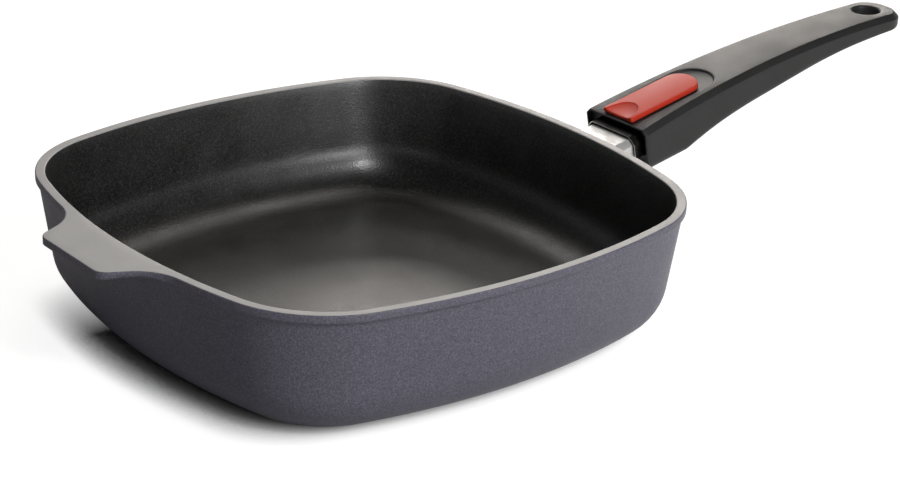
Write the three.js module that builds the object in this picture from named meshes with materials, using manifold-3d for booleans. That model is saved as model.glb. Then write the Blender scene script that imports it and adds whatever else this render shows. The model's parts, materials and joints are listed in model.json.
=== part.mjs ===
// Square cast frying pan with a detachable handle.
// Millimetres, +Z up. The origin is the centre of the flat underside, and +X runs along the handle.
import * as THREE from 'three';
import { mergeVertices } from 'three/addons/utils/BufferGeometryUtils.js';
import Module from 'manifold-3d';

const wasm = await Module();
wasm.setup();

const DEGREE = Math.PI / 180;

// Pan: plan shape and height
const RIM_HALF = 130; // centre to the middle of a side
const SIDE_RADIUS = 324; // each side bows out a little
const CORNER_RADIUS = 57;
const PAN_HEIGHT = 62;

// Pan: section of the wall and floor
const RIM_WIDTH = 4.6;
const RIM_EDGE = 0.5; // edge break on both sides of the rim
const COLLAR_HEIGHT = 3.6; // thick band below the rim
const COLLAR_STEP = 1.3; // how far the collar stands out
const WALL_DRAFT = 7.9 * DEGREE;
const BOTTOM_RADIUS = 24.7;
const INNER_DRAFT = 8 * DEGREE;
const FLOOR_RADIUS = 26;
const FLOOR_THICKNESS = 7;

// Lip opposite the handle
const LIP_REACH = 20.2; // beyond the rim
const LIP_FRONT_HALF = 24.4;
const LIP_ROOT_HALF = 35.5;
const LIP_CORNER_RADIUS = 7.5;
const LIP_FLARE_RADIUS = 24;
const LIP_FLARE_RUN = 16.8; // the flare has met the rim this far past the root
const LIP_EDGE = 3.6;
const LIP_COVE = 16; // height of the hollow curve under the lip

// Handle: where its mouth is and how it leans
const MOUTH_GAP = 27.4; // from the rim to the mouth's top edge
const MOUTH_DROP = 1.95; // below the rim
const HANDLE_TILT = 11.5 * DEGREE; // slope of the tang, the socket and the slider's path

// Handle: outside
const HANDLE_LENGTH = 197.9;
const TOP_RADIUS = 818; // the top is one long arc
const TOP_SLOPE = 14.7 * DEGREE; // its slope at the mouth
const MOUTH_HALF = 22.2;
const TAIL_HALF = 15.2;
const TAPER_LENGTH = 172; // the sides run straight behind this
const TAPER_POWER = 1.5; // how hollow the taper is in plan
const TAIL_CORNER_RADIUS = 13;
const TAIL_EDGE = 0.3; // flat that is left at the very end
const EDGE_BEVEL = 2.8;
const LOWER_RADIUS = 4.5;
const BELLY_DEPTH = 23.2; // underside of the front block, below the mouth's top edge
const BELLY_SLOPE = 9.2 * DEGREE;
const BELLY_LENGTH = 33; // from the mouth to the knee where the grip begins
const KNEE_BLEND = 8; // length over which the knee is rounded
// Thickness of the grip at even steps from the knee to the tail
const GRIP_DEPTHS = [25.7, 22, 19.7, 18.1, 16, 13.4, 11.1, 9.7, 8.6];
const HOLE_DIAMETER = 14.5; // hanging hole
const HOLE_FROM_TAIL = 17.4;

// Tang: folded sheet, measured in the tilted frame of the mouth
const TANG_LENGTH = 46; // inside the handle
const TANG_DROP = 5.3; // its top below the floor of the slider's recess
const TANG_HALF = 16;
const TANG_SHOULDER = 3; // sloping fold along each upper edge
const TANG_HEIGHT = 9.5;
const TANG_SHEET = 2;
const TANG_PLAY = 0.9; // between the tang and the sleeve

// Bracket flange, its boss on the pan and its two screws
const FLANGE_GAP = 13.4; // from the flange to the mouth
const FLANGE_THICKNESS = 3;
const FLANGE_MARGIN = 1.2; // round the screws' heads
const FLANGE_HEIGHT = 15;
const FLANGE_RADIUS = 6;
const BOSS_MARGIN = 0.8; // the boss is this much larger than the flange
const BOSS_FLARE = 2.5; // it widens towards the wall
const BRACKET_SCREW_MARGIN = 0.7; // from the tang to the screws' heads
const BRACKET_SCREW_DIAMETER = 5;
const BRACKET_SCREW_DEPTH = 11; // in the boss
const BRACKET_HEAD_DIAMETER = 8.6;
const BRACKET_HEAD_HEIGHT = 3.2;

// Sleeve in the socket, with its screw and nut
const SLEEVE_SHEET = 0.7;
const SLEEVE_REACH = 3.8; // in front of the mouth's face
const SLEEVE_BEHIND_TANG = 4; // the sleeve is this much longer than the tang
const SLEEVE_SCREW_AT = 20;
const SLEEVE_SCREW_DIAMETER = 4;
const SLEEVE_HEAD_DIAMETER = 7;
const SLEEVE_HEAD_HEIGHT = 2.4;
const SLEEVE_SCREW_FLOOR = 2.4; // plastic between the screw's head and the sleeve
const NUT_WIDTH = 7;
const NUT_HEIGHT = 3;

// Slider
const SLIDER_SETBACK = 1.7; // its front edge from the mouth
const SLIDER_LENGTH = 50.6;
const SLIDER_HALF = 10.5;
const SLIDER_REAR = 8; // length of its rounded rear
const SLIDER_HEIGHT = 3;
const SLIDER_CHAMFER = 0.8;
const SLIDER_CORNER = 1;
const SLIDER_TRAVEL = 10;
const RECESS_MARGIN = 2; // beside the slider's path
const RECESS_END_GAP = 0.8; // behind it
const RECESS_REAR = 12.2; // length of the recess's rounded rear
const RECESS_FLOOR = 1; // plastic under the recess
const DIMPLE_HALF = 7.6;
const DIMPLE_LENGTH = 13.5;
const DIMPLE_DEPTH = 1.4;
const DIMPLE_SETBACK = 2.5; // its widest point behind the slider's front
const PEG_DIAMETER = 1.8;

// Catch: a leaf of spring steel with a nose
const LEAF_THICKNESS = 0.6;
const LEAF_HALF = 6;
const LEAF_TIP_LENGTH = 4; // turned-up tip in front of the nose
const LEAF_TIP_RISE = 0.8;
const NOSE_AT = 29;
const NOSE_LENGTH = 3;
const NOSE_HALF = 2.2;
const NOSE_BITE = 1.3; // how deep the nose goes into the tang's sheet
const WINDOW_MARGIN = 0.7; // round the nose
const RIVET_DIAMETER = 2.4;
const RIVET_HEAD_DIAMETER = 4.4;
const RIVET_HEAD_HEIGHT = 0.5;
const RIVET_FROM_END = 3;
const RIVET_SPACING = 5.5;

// Carriage under the slider
const CARRIAGE_HALF = 9.2;
const RAIL_WIDTH = 2.3;
const BAR_LENGTH = 4; // front cross bar
const CATCH_LIFT = 1.8; // how far the ramps lift the leaf
const RAMP_LENGTH = 3;
const RAMP_GAP = 0.6; // from the ramps to the leaf's tip at rest
const PUSHER_GAP = 3.5; // behind the sleeve
const PUSHER_THICKNESS = 2.5;
const PUSHER_HALF = 4.5;

// Return spring and its guide pin
const SPRING_DIAMETER = 6;
const SPRING_WIRE = 0.8;
const SPRING_TURNS = 9;
const SPRING_LENGTH = 39.4;
const SPRING_DROP = 7; // its axis below the floor of the slider's recess
const PIN_DIAMETER = 3;
const PIN_LENGTH = 32;
const PIN_SEAT = 8; // length held in the handle

// Clearances
const FIT_GAP = 0.3; // between pieces that rest on or in each other
const RUN_GAP = 0.3; // between pieces that slide
const OVERCUT = 1; // how far a cut runs past the surface

// Steps of the round shapes
const SIDE_STEPS = 6;
const CORNER_STEPS = 8;
const FILLET_STEPS = 5;
const ROUND_STEPS = 20;

// Colours
const FINISH = {
  coating: { color: 0x4b4a53, roughness: 0.55, metalness: 0.3 },
  steel: { color: 0xc9c9c7, roughness: 0.25, metalness: 1 },
  spring: { color: 0x9a9a98, roughness: 0.35, metalness: 1 },
  grip: { color: 0x2b2b2c, roughness: 0.6, metalness: 0 },
  slider: { color: 0xc0302a, roughness: 0.4, metalness: 0 },
  carriage: { color: 0x1d1d1f, roughness: 0.5, metalness: 0 },
};

// The frame of the mouth: x along the tang, y across, z up from the floor of the slider's recess.
const mouthFrame = new THREE.Group();
mouthFrame.position.set(RIM_HALF + MOUTH_GAP, 0, PAN_HEIGHT - MOUTH_DROP);
mouthFrame.rotation.y = -HANDLE_TILT;
mouthFrame.updateMatrix();
const toMouth = mouthFrame.matrix.clone().invert();

// Heights and stations in that frame that several pieces share
const tangTop = -TANG_DROP;
const tangBottom = tangTop - TANG_HEIGHT;
const sleeveTop = tangTop + TANG_PLAY + SLEEVE_SHEET;
const sleeveEnd = TANG_LENGTH + SLEEVE_BEHIND_TANG;
const leafBottom = sleeveTop + FIT_GAP;
const leafTop = leafBottom + LEAF_THICKNESS;
const leafTip = NOSE_AT - LEAF_TIP_LENGTH;
const leafEnd = sleeveEnd - FIT_GAP;
const rivetStations = [leafEnd - RIVET_FROM_END - RIVET_SPACING, leafEnd - RIVET_FROM_END];
const flangeFront = -FLANGE_GAP;
const bossFace = flangeFront - FLANGE_THICKNESS - FIT_GAP;
const flangeTop = tangTop;
const flangeMiddle = flangeTop - FLANGE_HEIGHT / 2;
const carriageTop = -RECESS_FLOOR - RUN_GAP;
const carriageBottom = sleeveTop + RUN_GAP;
const rampTop = carriageBottom + CATCH_LIFT;
const rampToe = leafTip - RAMP_GAP;
const barRear = NOSE_AT - SLIDER_TRAVEL - WINDOW_MARGIN;
const barFront = barRear - BAR_LENGTH;
const rampBrow = rampToe - RAMP_LENGTH;
const prongInside = NOSE_HALF + WINDOW_MARGIN;
const prongOutside = LEAF_HALF + RUN_GAP;
const pegAt = (barRear + rampBrow) / 2;
const pegSides = [-1, 1].map((side) => side * (prongInside + prongOutside) / 2);
const pusherFront = sleeveEnd + PUSHER_GAP;
const pusherRear = pusherFront + PUSHER_THICKNESS;
const pusherBottom = -SPRING_DROP - SPRING_DIAMETER / 2;
const springEnd = pusherRear + FIT_GAP + SPRING_LENGTH + FIT_GAP;
const chamberEnd = pusherRear + SLIDER_TRAVEL + OVERCUT;
const sliderEnd = SLIDER_SETBACK + SLIDER_LENGTH;
const bracketScrewAt = TANG_HALF + BRACKET_SCREW_MARGIN + BRACKET_HEAD_DIAMETER / 2;
const flangeHalf = bracketScrewAt + BRACKET_HEAD_DIAMETER / 2 + FLANGE_MARGIN;
const screwSeat = tangBottom - TANG_PLAY - SLEEVE_SHEET - FIT_GAP - SLEEVE_SCREW_FLOOR;

// Turns a closed geometry into a solid that can be joined and cut.
function solid(geometry) {
  const bare = geometry.clone();
  bare.deleteAttribute('normal');
  bare.deleteAttribute('uv');
  const merged = mergeVertices(bare);
  const corners = [];
  for (let i = 0; i < merged.index.count; i += 3) {
    const [a, b, c] = [0, 1, 2].map((k) => merged.index.getX(i + k));
    if (a !== b && b !== c && c !== a) corners.push(a, b, c);
  }
  const vertProperties = new Float32Array(merged.attributes.position.array);
  const triVerts = new Uint32Array(corners);
  return new wasm.Manifold(new wasm.Mesh({ numProp: 3, vertProperties, triVerts }));
}

function geometryOf(body) {
  const mesh = body.getMesh();
  const geometry = new THREE.BufferGeometry();
  geometry.setAttribute('position', new THREE.BufferAttribute(mesh.vertProperties, mesh.numProp));
  geometry.setIndex(new THREE.BufferAttribute(mesh.triVerts, 1));
  geometry.computeVertexNormals();
  return geometry;
}

// Joins the first list of geometries and cuts the second list away.
function build(joined, cuts = []) {
  let body = solid(joined[0]);
  for (const geometry of joined.slice(1)) body = body.add(solid(geometry));
  for (const geometry of cuts) body = body.subtract(solid(geometry));
  return geometryOf(body);
}

// Skins a row of rings of equal length, counter-clockwise about the way they run, and closes both ends.
function loft(rings) {
  const count = rings[0].length;
  const points = rings.flat();
  const index = [];
  for (let r = 0; r < rings.length - 1; r++) {
    for (let i = 0; i < count; i++) {
      const a = r * count + i;
      const b = r * count + (i + 1) % count;
      index.push(a, b, b + count, a, b + count, a + count);
    }
  }
  const last = (rings.length - 1) * count;
  for (let i = 0; i < count; i++) {
    const next = (i + 1) % count;
    index.push(points.length, next, i);
    index.push(points.length + 1, last + i, last + next);
  }
  const ends = [rings[0], rings[rings.length - 1]];
  const middles = ends.map((ring) => {
    const sum = new THREE.Vector3();
    ring.forEach((p) => sum.add(p));
    return sum.divideScalar(count);
  });
  const geometry = new THREE.BufferGeometry().setFromPoints([...points, ...middles]);
  geometry.setIndex(index);
  geometry.computeVertexNormals();
  return geometry;
}

const point = (x, y) => new THREE.Vector2(x, y);

function arc(cx, cy, radius, from, to, steps) {
  return Array.from({ length: steps + 1 }, (_, i) => {
    const angle = from + (to - from) * i / steps;
    return point(cx + radius * Math.cos(angle), cy + radius * Math.sin(angle));
  });
}

// Straight bars of an outline. A bar along x has its outline in y and z, one along z in x and y,
// and one along y in x and z.
function extrude(outline, depth) {
  return new THREE.ExtrudeGeometry(new THREE.Shape(outline), { depth, bevelEnabled: false });
}

function barAlongX(outline, from, to) {
  const geometry = extrude(outline, to - from);
  geometry.applyMatrix4(new THREE.Matrix4().set(0, 0, 1, from, 1, 0, 0, 0, 0, 1, 0, 0, 0, 0, 0, 1));
  return geometry;
}

function barAlongZ(outline, from, to) {
  return extrude(outline, to - from).translate(0, 0, from);
}

function barAlongY(outline, from, to) {
  return extrude(outline, to - from).rotateX(Math.PI / 2).translate(0, to, 0);
}

function box(x0, x1, halfY, z0, z1) {
  const geometry = new THREE.BoxGeometry(x1 - x0, 2 * halfY, z1 - z0);
  return geometry.translate((x0 + x1) / 2, 0, (z0 + z1) / 2);
}

function rodAlongX(diameter, from, to, y, z) {
  const geometry = new THREE.CylinderGeometry(diameter / 2, diameter / 2, to - from, ROUND_STEPS);
  return geometry.rotateZ(-Math.PI / 2).translate((from + to) / 2, y, z);
}

function rodAlongZ(diameter, from, to, x, y, sides = ROUND_STEPS) {
  const geometry = new THREE.CylinderGeometry(diameter / 2, diameter / 2, to - from, sides);
  return geometry.rotateX(Math.PI / 2).translate(x, y, (from + to) / 2);
}

// A turned piece: its profile gives radius and height, and starts and ends on the axis, which is +Z.
function turned(profile) {
  const points = profile.map(([radius, height]) => point(radius, height));
  return new THREE.LatheGeometry(points, ROUND_STEPS).rotateX(Math.PI / 2);
}

// A polygon with each corner rounded by its own radius, given as [x, y, radius].
function roundedPolygon(corners, steps) {
  const count = corners.length;
  return corners.flatMap(([x, y, radius], i) => {
    const here = point(x, y);
    const before = point(...corners[(i + count - 1) % count]).sub(here).normalize();
    const after = point(...corners[(i + 1) % count]).sub(here).normalize();
    if (radius === 0) return [here];
    const half = Math.acos(THREE.MathUtils.clamp(before.dot(after), -1, 1)) / 2;
    const start = here.clone().addScaledVector(before, radius / Math.tan(half));
    const end = here.clone().addScaledVector(after, radius / Math.tan(half));
    const inward = before.clone().add(after).normalize();
    const centre = here.clone().addScaledVector(inward, radius / Math.sin(half));
    const from = start.sub(centre).angle();
    const sweep = end.sub(centre).angle() - from;
    const turn = Math.atan2(Math.sin(sweep), Math.cos(sweep));
    return arc(centre.x, centre.y, radius, from, from + turn, steps);
  });
}

function roundedRectangle(half, low, high, radius) {
  const corners = [[half, low, radius], [half, high, radius], [-half, high, radius], [-half, low, radius]];
  return roundedPolygon(corners, FILLET_STEPS);
}

// The pan's plan: four bowed sides whose arcs run into four corner arcs, set in by an inset.
const sideCentre = RIM_HALF - SIDE_RADIUS;
const centreGap = SIDE_RADIUS - CORNER_RADIUS;
const cornerCentre = (sideCentre + Math.sqrt(2 * centreGap ** 2 - sideCentre ** 2)) / 2;
const sideAngle = Math.atan2(cornerCentre, cornerCentre - sideCentre);

function panRing(inset, z) {
  const side = arc(sideCentre, 0, SIDE_RADIUS - inset, -sideAngle, sideAngle, SIDE_STEPS).slice(0, -1);
  const cornerEnd = Math.PI / 2 - sideAngle;
  const radius = CORNER_RADIUS - inset;
  const corner = arc(cornerCentre, cornerCentre, radius, sideAngle, cornerEnd, CORNER_STEPS).slice(0, -1);
  const origin = point(0, 0);
  const quarters = [0, 1, 2, 3].map((quarter) => quarter * Math.PI / 2);
  return quarters.flatMap((turn) => [...side, ...corner].map((p) => {
    const turnedPoint = p.clone().rotateAround(origin, turn);
    return new THREE.Vector3(turnedPoint.x, turnedPoint.y, z);
  }));
}

// How far the outer and inner faces of the wall stand in from the rim's outer edge at a height.
const outerInset = (z) => COLLAR_STEP + (PAN_HEIGHT - COLLAR_HEIGHT - z) * Math.tan(WALL_DRAFT);
const innerInset = (z) => RIM_WIDTH + (PAN_HEIGHT - z) * Math.tan(INNER_DRAFT);

// The round between a flat floor and a wall, as [inset, height] from the floor's edge to the wall.
function cornerProfile(insetAt, draft, floor, radius) {
  const touch = floor + radius * (1 - Math.sin(draft));
  const centre = insetAt(touch) + radius * Math.cos(draft);
  return arc(-centre, floor + radius, radius, -Math.PI / 2, -draft, FILLET_STEPS).map((p) => [-p.x, p.y]);
}

function panOutside() {
  const profile = [
    ...cornerProfile(outerInset, WALL_DRAFT, 0, BOTTOM_RADIUS),
    [COLLAR_STEP, PAN_HEIGHT - COLLAR_HEIGHT - COLLAR_STEP],
    [0, PAN_HEIGHT - COLLAR_HEIGHT],
    [0, PAN_HEIGHT - RIM_EDGE],
    [RIM_EDGE, PAN_HEIGHT],
  ];
  return loft(profile.map(([inset, z]) => panRing(inset, z)));
}

function panInside() {
  const profile = [
    ...cornerProfile(innerInset, INNER_DRAFT, FLOOR_THICKNESS, FLOOR_RADIUS),
    [innerInset(PAN_HEIGHT - RIM_EDGE), PAN_HEIGHT - RIM_EDGE],
    [RIM_WIDTH - RIM_EDGE, PAN_HEIGHT],
    [RIM_WIDTH - RIM_EDGE, PAN_HEIGHT + OVERCUT],
  ];
  return loft(profile.map(([inset, z]) => panRing(inset, z)));
}

// One level of the lip: its outline flares into the rim, and its root lies inside the wall.
function lipRing(reach, inset, z) {
  const rimX = (y) => -(sideCentre + Math.sqrt(SIDE_RADIUS ** 2 - y ** 2) - inset);
  const front = -(RIM_HALF + reach);
  const flareEnd = LIP_ROOT_HALF + LIP_FLARE_RUN;
  const root = -(RIM_HALF - 2 * RIM_WIDTH - inset);
  const outline = roundedPolygon([
    [root, flareEnd, 0],
    [rimX(flareEnd), flareEnd, 0],
    [rimX(LIP_ROOT_HALF), LIP_ROOT_HALF, LIP_FLARE_RADIUS],
    [front, LIP_FRONT_HALF, LIP_CORNER_RADIUS],
    [front, -LIP_FRONT_HALF, LIP_CORNER_RADIUS],
    [rimX(LIP_ROOT_HALF), -LIP_ROOT_HALF, LIP_FLARE_RADIUS],
    [rimX(flareEnd), -flareEnd, 0],
    [root, -flareEnd, 0],
  ], FILLET_STEPS);
  return outline.map((p) => new THREE.Vector3(p.x, p.y, z));
}

function panLip() {
  const edge = PAN_HEIGHT - LIP_EDGE;
  const levels = [];
  for (let step = FILLET_STEPS; step >= 0; step--) {
    const angle = step / FILLET_STEPS * Math.PI / 2;
    const z = edge - LIP_COVE * (1 - Math.cos(angle));
    const inset = Math.max(0, outerInset(z)) * Math.sin(angle);
    const reach = (LIP_REACH + inset) * (1 - Math.sin(angle)) - inset;
    levels.push(lipRing(reach, inset, z));
  }
  levels.push(lipRing(LIP_REACH, 0, PAN_HEIGHT - RIM_EDGE));
  levels.push(lipRing(LIP_REACH - RIM_EDGE, 0, PAN_HEIGHT));
  return loft(levels);
}

const screwSides = [-bracketScrewAt, bracketScrewAt];

function panBoss() {
  const ring = (x, margin) => {
    const low = flangeTop - FLANGE_HEIGHT - margin;
    const outline = roundedRectangle(flangeHalf + margin, low, flangeTop + margin, FLANGE_RADIUS + margin);
    return outline.map((p) => new THREE.Vector3(x, p.x, p.y));
  };
  const root = -(MOUTH_GAP + 2 * RIM_WIDTH) / Math.cos(HANDLE_TILT);
  return loft([ring(root, BOSS_MARGIN + BOSS_FLARE), ring(bossFace, BOSS_MARGIN)]);
}

function panBody() {
  const boss = panBoss().applyMatrix4(mouthFrame.matrix);
  const hole = BRACKET_SCREW_DIAMETER + 2 * FIT_GAP;
  const bottom = bossFace - BRACKET_SCREW_DEPTH - FIT_GAP;
  const screwHoles = screwSides.map((y) => rodAlongX(hole, bottom, bossFace + OVERCUT, y, flangeMiddle));
  const placed = screwHoles.map((geometry) => geometry.applyMatrix4(mouthFrame.matrix));
  return build([panOutside(), panLip(), boss], [panInside(), ...placed]);
}

// The tang's section, grown on every side: a flat top, two sloping folds and upright sides.
function tangSection(grow) {
  const half = TANG_HALF + grow;
  const shoulder = TANG_SHOULDER + grow * (1 - Math.tan(Math.PI / 8));
  const top = tangTop + grow;
  const bottom = tangBottom - grow;
  const right = [point(half, bottom), point(half, top - shoulder), point(half - shoulder, top)];
  const left = right.map((p) => point(-p.x, p.y)).reverse();
  return [...right, ...left];
}

function handleBracket() {
  const flangeBack = bossFace + FIT_GAP;
  const outline = roundedRectangle(flangeHalf, flangeTop - FLANGE_HEIGHT, flangeTop, FLANGE_RADIUS);
  const flange = barAlongX(outline, flangeBack, flangeFront);
  const tang = barAlongX(tangSection(0), flangeBack, TANG_LENGTH);
  const inside = tangSection(-TANG_SHEET);
  for (const corner of [inside[0], inside[inside.length - 1]]) corner.y = tangBottom - OVERCUT;
  const channel = barAlongX(inside, flangeFront, TANG_LENGTH + OVERCUT);
  const windowEnd = NOSE_AT + NOSE_LENGTH + FIT_GAP;
  const windowHalf = NOSE_HALF + WINDOW_MARGIN;
  const catchWindow = box(NOSE_AT - WINDOW_MARGIN, windowEnd, windowHalf, tangTop - TANG_SHEET - OVERCUT, 0);
  const hole = BRACKET_SCREW_DIAMETER + 2 * FIT_GAP;
  const through = [flangeBack - OVERCUT, flangeFront + OVERCUT];
  const holes = screwSides.map((y) => rodAlongX(hole, ...through, y, flangeMiddle));
  return build([flange, tang], [channel, catchWindow, ...holes]);
}

// A screw with a domed head and a hexagon socket. Its head's underside is at height 0 and it points down.
function screw(diameter, length, headDiameter, headHeight) {
  const dome = headHeight / 4;
  const body = turned([
    [0, -length],
    [diameter / 2, -length],
    [diameter / 2, 0],
    [headDiameter / 2, 0],
    [headDiameter / 2, headHeight - dome],
    [headDiameter / 2 - dome, headHeight],
    [0, headHeight],
  ]);
  const socket = rodAlongZ(headDiameter / 2, headHeight / 2, headHeight + OVERCUT, 0, 0, 6);
  return build([body], [socket]);
}

function bracketScrew(y) {
  const length = BRACKET_SCREW_DEPTH + FLANGE_THICKNESS + FIT_GAP;
  const geometry = screw(BRACKET_SCREW_DIAMETER, length, BRACKET_HEAD_DIAMETER, BRACKET_HEAD_HEIGHT);
  return geometry.rotateY(Math.PI / 2).translate(flangeFront + FIT_GAP, y, flangeMiddle);
}

function socketSleeve() {
  const outside = barAlongX(tangSection(TANG_PLAY + SLEEVE_SHEET), -SLEEVE_REACH, sleeveEnd);
  const inside = barAlongX(tangSection(TANG_PLAY), -SLEEVE_REACH - OVERCUT, sleeveEnd + OVERCUT);
  const windowHalf = NOSE_HALF + WINDOW_MARGIN;
  const windowEnd = NOSE_AT + NOSE_LENGTH + WINDOW_MARGIN;
  const catchWindow = box(NOSE_AT - WINDOW_MARGIN, windowEnd, windowHalf, tangTop, 0);
  const rivetHole = RIVET_DIAMETER + 2 * FIT_GAP;
  const rivetHoles = rivetStations.map((x) => rodAlongZ(rivetHole, tangTop, 0, x, 0));
  const screwHole = SLEEVE_SCREW_DIAMETER + 2 * FIT_GAP;
  const floor = tangBottom - TANG_PLAY;
  const floorHole = rodAlongZ(screwHole, floor - SLEEVE_SHEET - OVERCUT, floor + OVERCUT, SLEEVE_SCREW_AT, 0);
  return build([outside], [inside, catchWindow, ...rivetHoles, floorHole]);
}

function sleeveScrew() {
  const nutTop = tangBottom - TANG_PLAY + FIT_GAP + NUT_HEIGHT;
  const length = nutTop - screwSeat;
  const geometry = screw(SLEEVE_SCREW_DIAMETER, length, SLEEVE_HEAD_DIAMETER, SLEEVE_HEAD_HEIGHT);
  return geometry.rotateX(Math.PI).translate(SLEEVE_SCREW_AT, 0, screwSeat - FIT_GAP);
}

function sleeveNut() {
  const bottom = tangBottom - TANG_PLAY + FIT_GAP;
  const top = bottom + NUT_HEIGHT;
  const acrossCorners = NUT_WIDTH / Math.cos(Math.PI / 6);
  const hole = SLEEVE_SCREW_DIAMETER + 2 * FIT_GAP;
  const body = rodAlongZ(acrossCorners, bottom, top, SLEEVE_SCREW_AT, 0, 6);
  return build([body], [rodAlongZ(hole, bottom - OVERCUT, top + OVERCUT, SLEEVE_SCREW_AT, 0)]);
}

// The leaf lies on the sleeve, turns up at its tip, and its nose reaches down into the tang's window.
function catchSpring() {
  const leaf = barAlongY([
    point(leafTip, leafBottom + LEAF_TIP_RISE),
    point(NOSE_AT, leafBottom),
    point(leafEnd, leafBottom),
    point(leafEnd, leafTop),
    point(NOSE_AT, leafTop),
    point(leafTip, leafTop + LEAF_TIP_RISE),
  ], -LEAF_HALF, LEAF_HALF);
  const noseEnd = NOSE_AT + NOSE_LENGTH;
  const noseBottom = tangTop - NOSE_BITE;
  const nose = barAlongY([
    point(NOSE_AT, leafTop),
    point(NOSE_AT, tangTop),
    point(NOSE_AT + NOSE_LENGTH / 2, noseBottom),
    point(noseEnd, noseBottom),
    point(noseEnd, leafTop),
  ], -NOSE_HALF, NOSE_HALF);
  const hole = RIVET_DIAMETER + 2 * FIT_GAP;
  const holes = rivetStations.map((x) => rodAlongZ(hole, leafBottom - OVERCUT, leafTop + OVERCUT, x, 0));
  return build([leaf, nose], holes);
}

function catchRivet(x) {
  const bottom = sleeveTop - SLEEVE_SHEET;
  const seat = leafTop + FIT_GAP;
  const top = seat + RIVET_HEAD_HEIGHT;
  const edge = RIVET_HEAD_HEIGHT / 2;
  return turned([
    [0, bottom],
    [RIVET_DIAMETER / 2, bottom],
    [RIVET_DIAMETER / 2, seat],
    [RIVET_HEAD_DIAMETER / 2, seat],
    [RIVET_HEAD_DIAMETER / 2, top - edge],
    [RIVET_HEAD_DIAMETER / 2 - edge, top],
    [0, top],
  ]).translate(x, 0, 0);
}

// The slider's plan: a straight front with small corners and a round rear, set in by an inset.
function sliderRing(inset, z) {
  const half = SLIDER_HALF - inset;
  const front = SLIDER_SETBACK + inset;
  const rearCentre = sliderEnd - SLIDER_REAR;
  const rear = arc(0, 0, 1, -Math.PI / 2, Math.PI / 2, ROUND_STEPS / 2).map((p) => {
    return point(rearCentre + p.x * (SLIDER_REAR - inset), p.y * half);
  });
  const left = arc(front + SLIDER_CORNER, half - SLIDER_CORNER, SLIDER_CORNER, Math.PI / 2, Math.PI, 2);
  const right = left.map((p) => point(p.x, -p.y)).reverse();
  return [...rear, ...left, ...right].map((p) => new THREE.Vector3(p.x, p.y, z));
}

function sliderButton() {
  const top = RUN_GAP + SLIDER_HEIGHT;
  const body = loft([
    sliderRing(0, RUN_GAP),
    sliderRing(0, top - SLIDER_CHAMFER),
    sliderRing(SLIDER_CHAMFER, top),
  ]);
  const scoop = new THREE.SphereGeometry(1, ROUND_STEPS, ROUND_STEPS);
  const scoopLength = DIMPLE_LENGTH - DIMPLE_SETBACK;
  const rise = DIMPLE_HALF;
  const sink = Math.sqrt(1 - (1 - DIMPLE_DEPTH / rise) ** 2);
  scoop.scale(scoopLength / sink, DIMPLE_HALF / sink, rise);
  scoop.translate(SLIDER_SETBACK + DIMPLE_SETBACK, 0, top + rise - DIMPLE_DEPTH);
  const pegBottom = carriageBottom + FIT_GAP;
  const pegs = pegSides.map((y) => rodAlongZ(PEG_DIAMETER, pegBottom, RUN_GAP + SLIDER_HEIGHT / 4, pegAt, y));
  return build([geometryOf(solid(body).subtract(solid(scoop))), ...pegs]);
}

// A frame that runs on the sleeve: cross bar, two rails, two ramped prongs and a pusher for the spring.
function sliderCarriage() {
  const outer = box(barFront, pusherRear, CARRIAGE_HALF, carriageBottom, carriageTop);
  const railInside = CARRIAGE_HALF - RAIL_WIDTH;
  const inner = box(barRear, pusherFront, railInside, carriageBottom - OVERCUT, carriageTop + OVERCUT);
  const frame = build([outer], [inner]);
  const pusher = box(pusherFront, pusherRear, PUSHER_HALF, pusherBottom, carriageTop);
  const prongProfile = [
    point(barRear - OVERCUT, carriageBottom),
    point(rampToe, carriageBottom),
    point(rampBrow, rampTop),
    point(barRear, rampTop),
    point(barRear, carriageTop),
    point(barRear - OVERCUT, carriageTop),
  ];
  const web = [
    point(prongInside, carriageBottom),
    point(railInside + OVERCUT, carriageBottom),
    point(railInside + OVERCUT, carriageTop),
    point(prongInside, carriageTop),
  ];
  const mirroredWeb = web.map((p) => point(-p.x, p.y));
  const prongs = [
    barAlongY(prongProfile, prongInside, prongOutside),
    barAlongY(prongProfile, -prongOutside, -prongInside),
    barAlongX(web, barRear - OVERCUT, rampBrow),
    barAlongX(mirroredWeb, barRear - OVERCUT, rampBrow),
  ];
  const hole = PEG_DIAMETER + 2 * FIT_GAP;
  const holes = pegSides.map((y) => rodAlongZ(hole, carriageBottom - OVERCUT, rampTop + OVERCUT, pegAt, y));
  return build([frame, pusher, ...prongs], holes);
}

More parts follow.
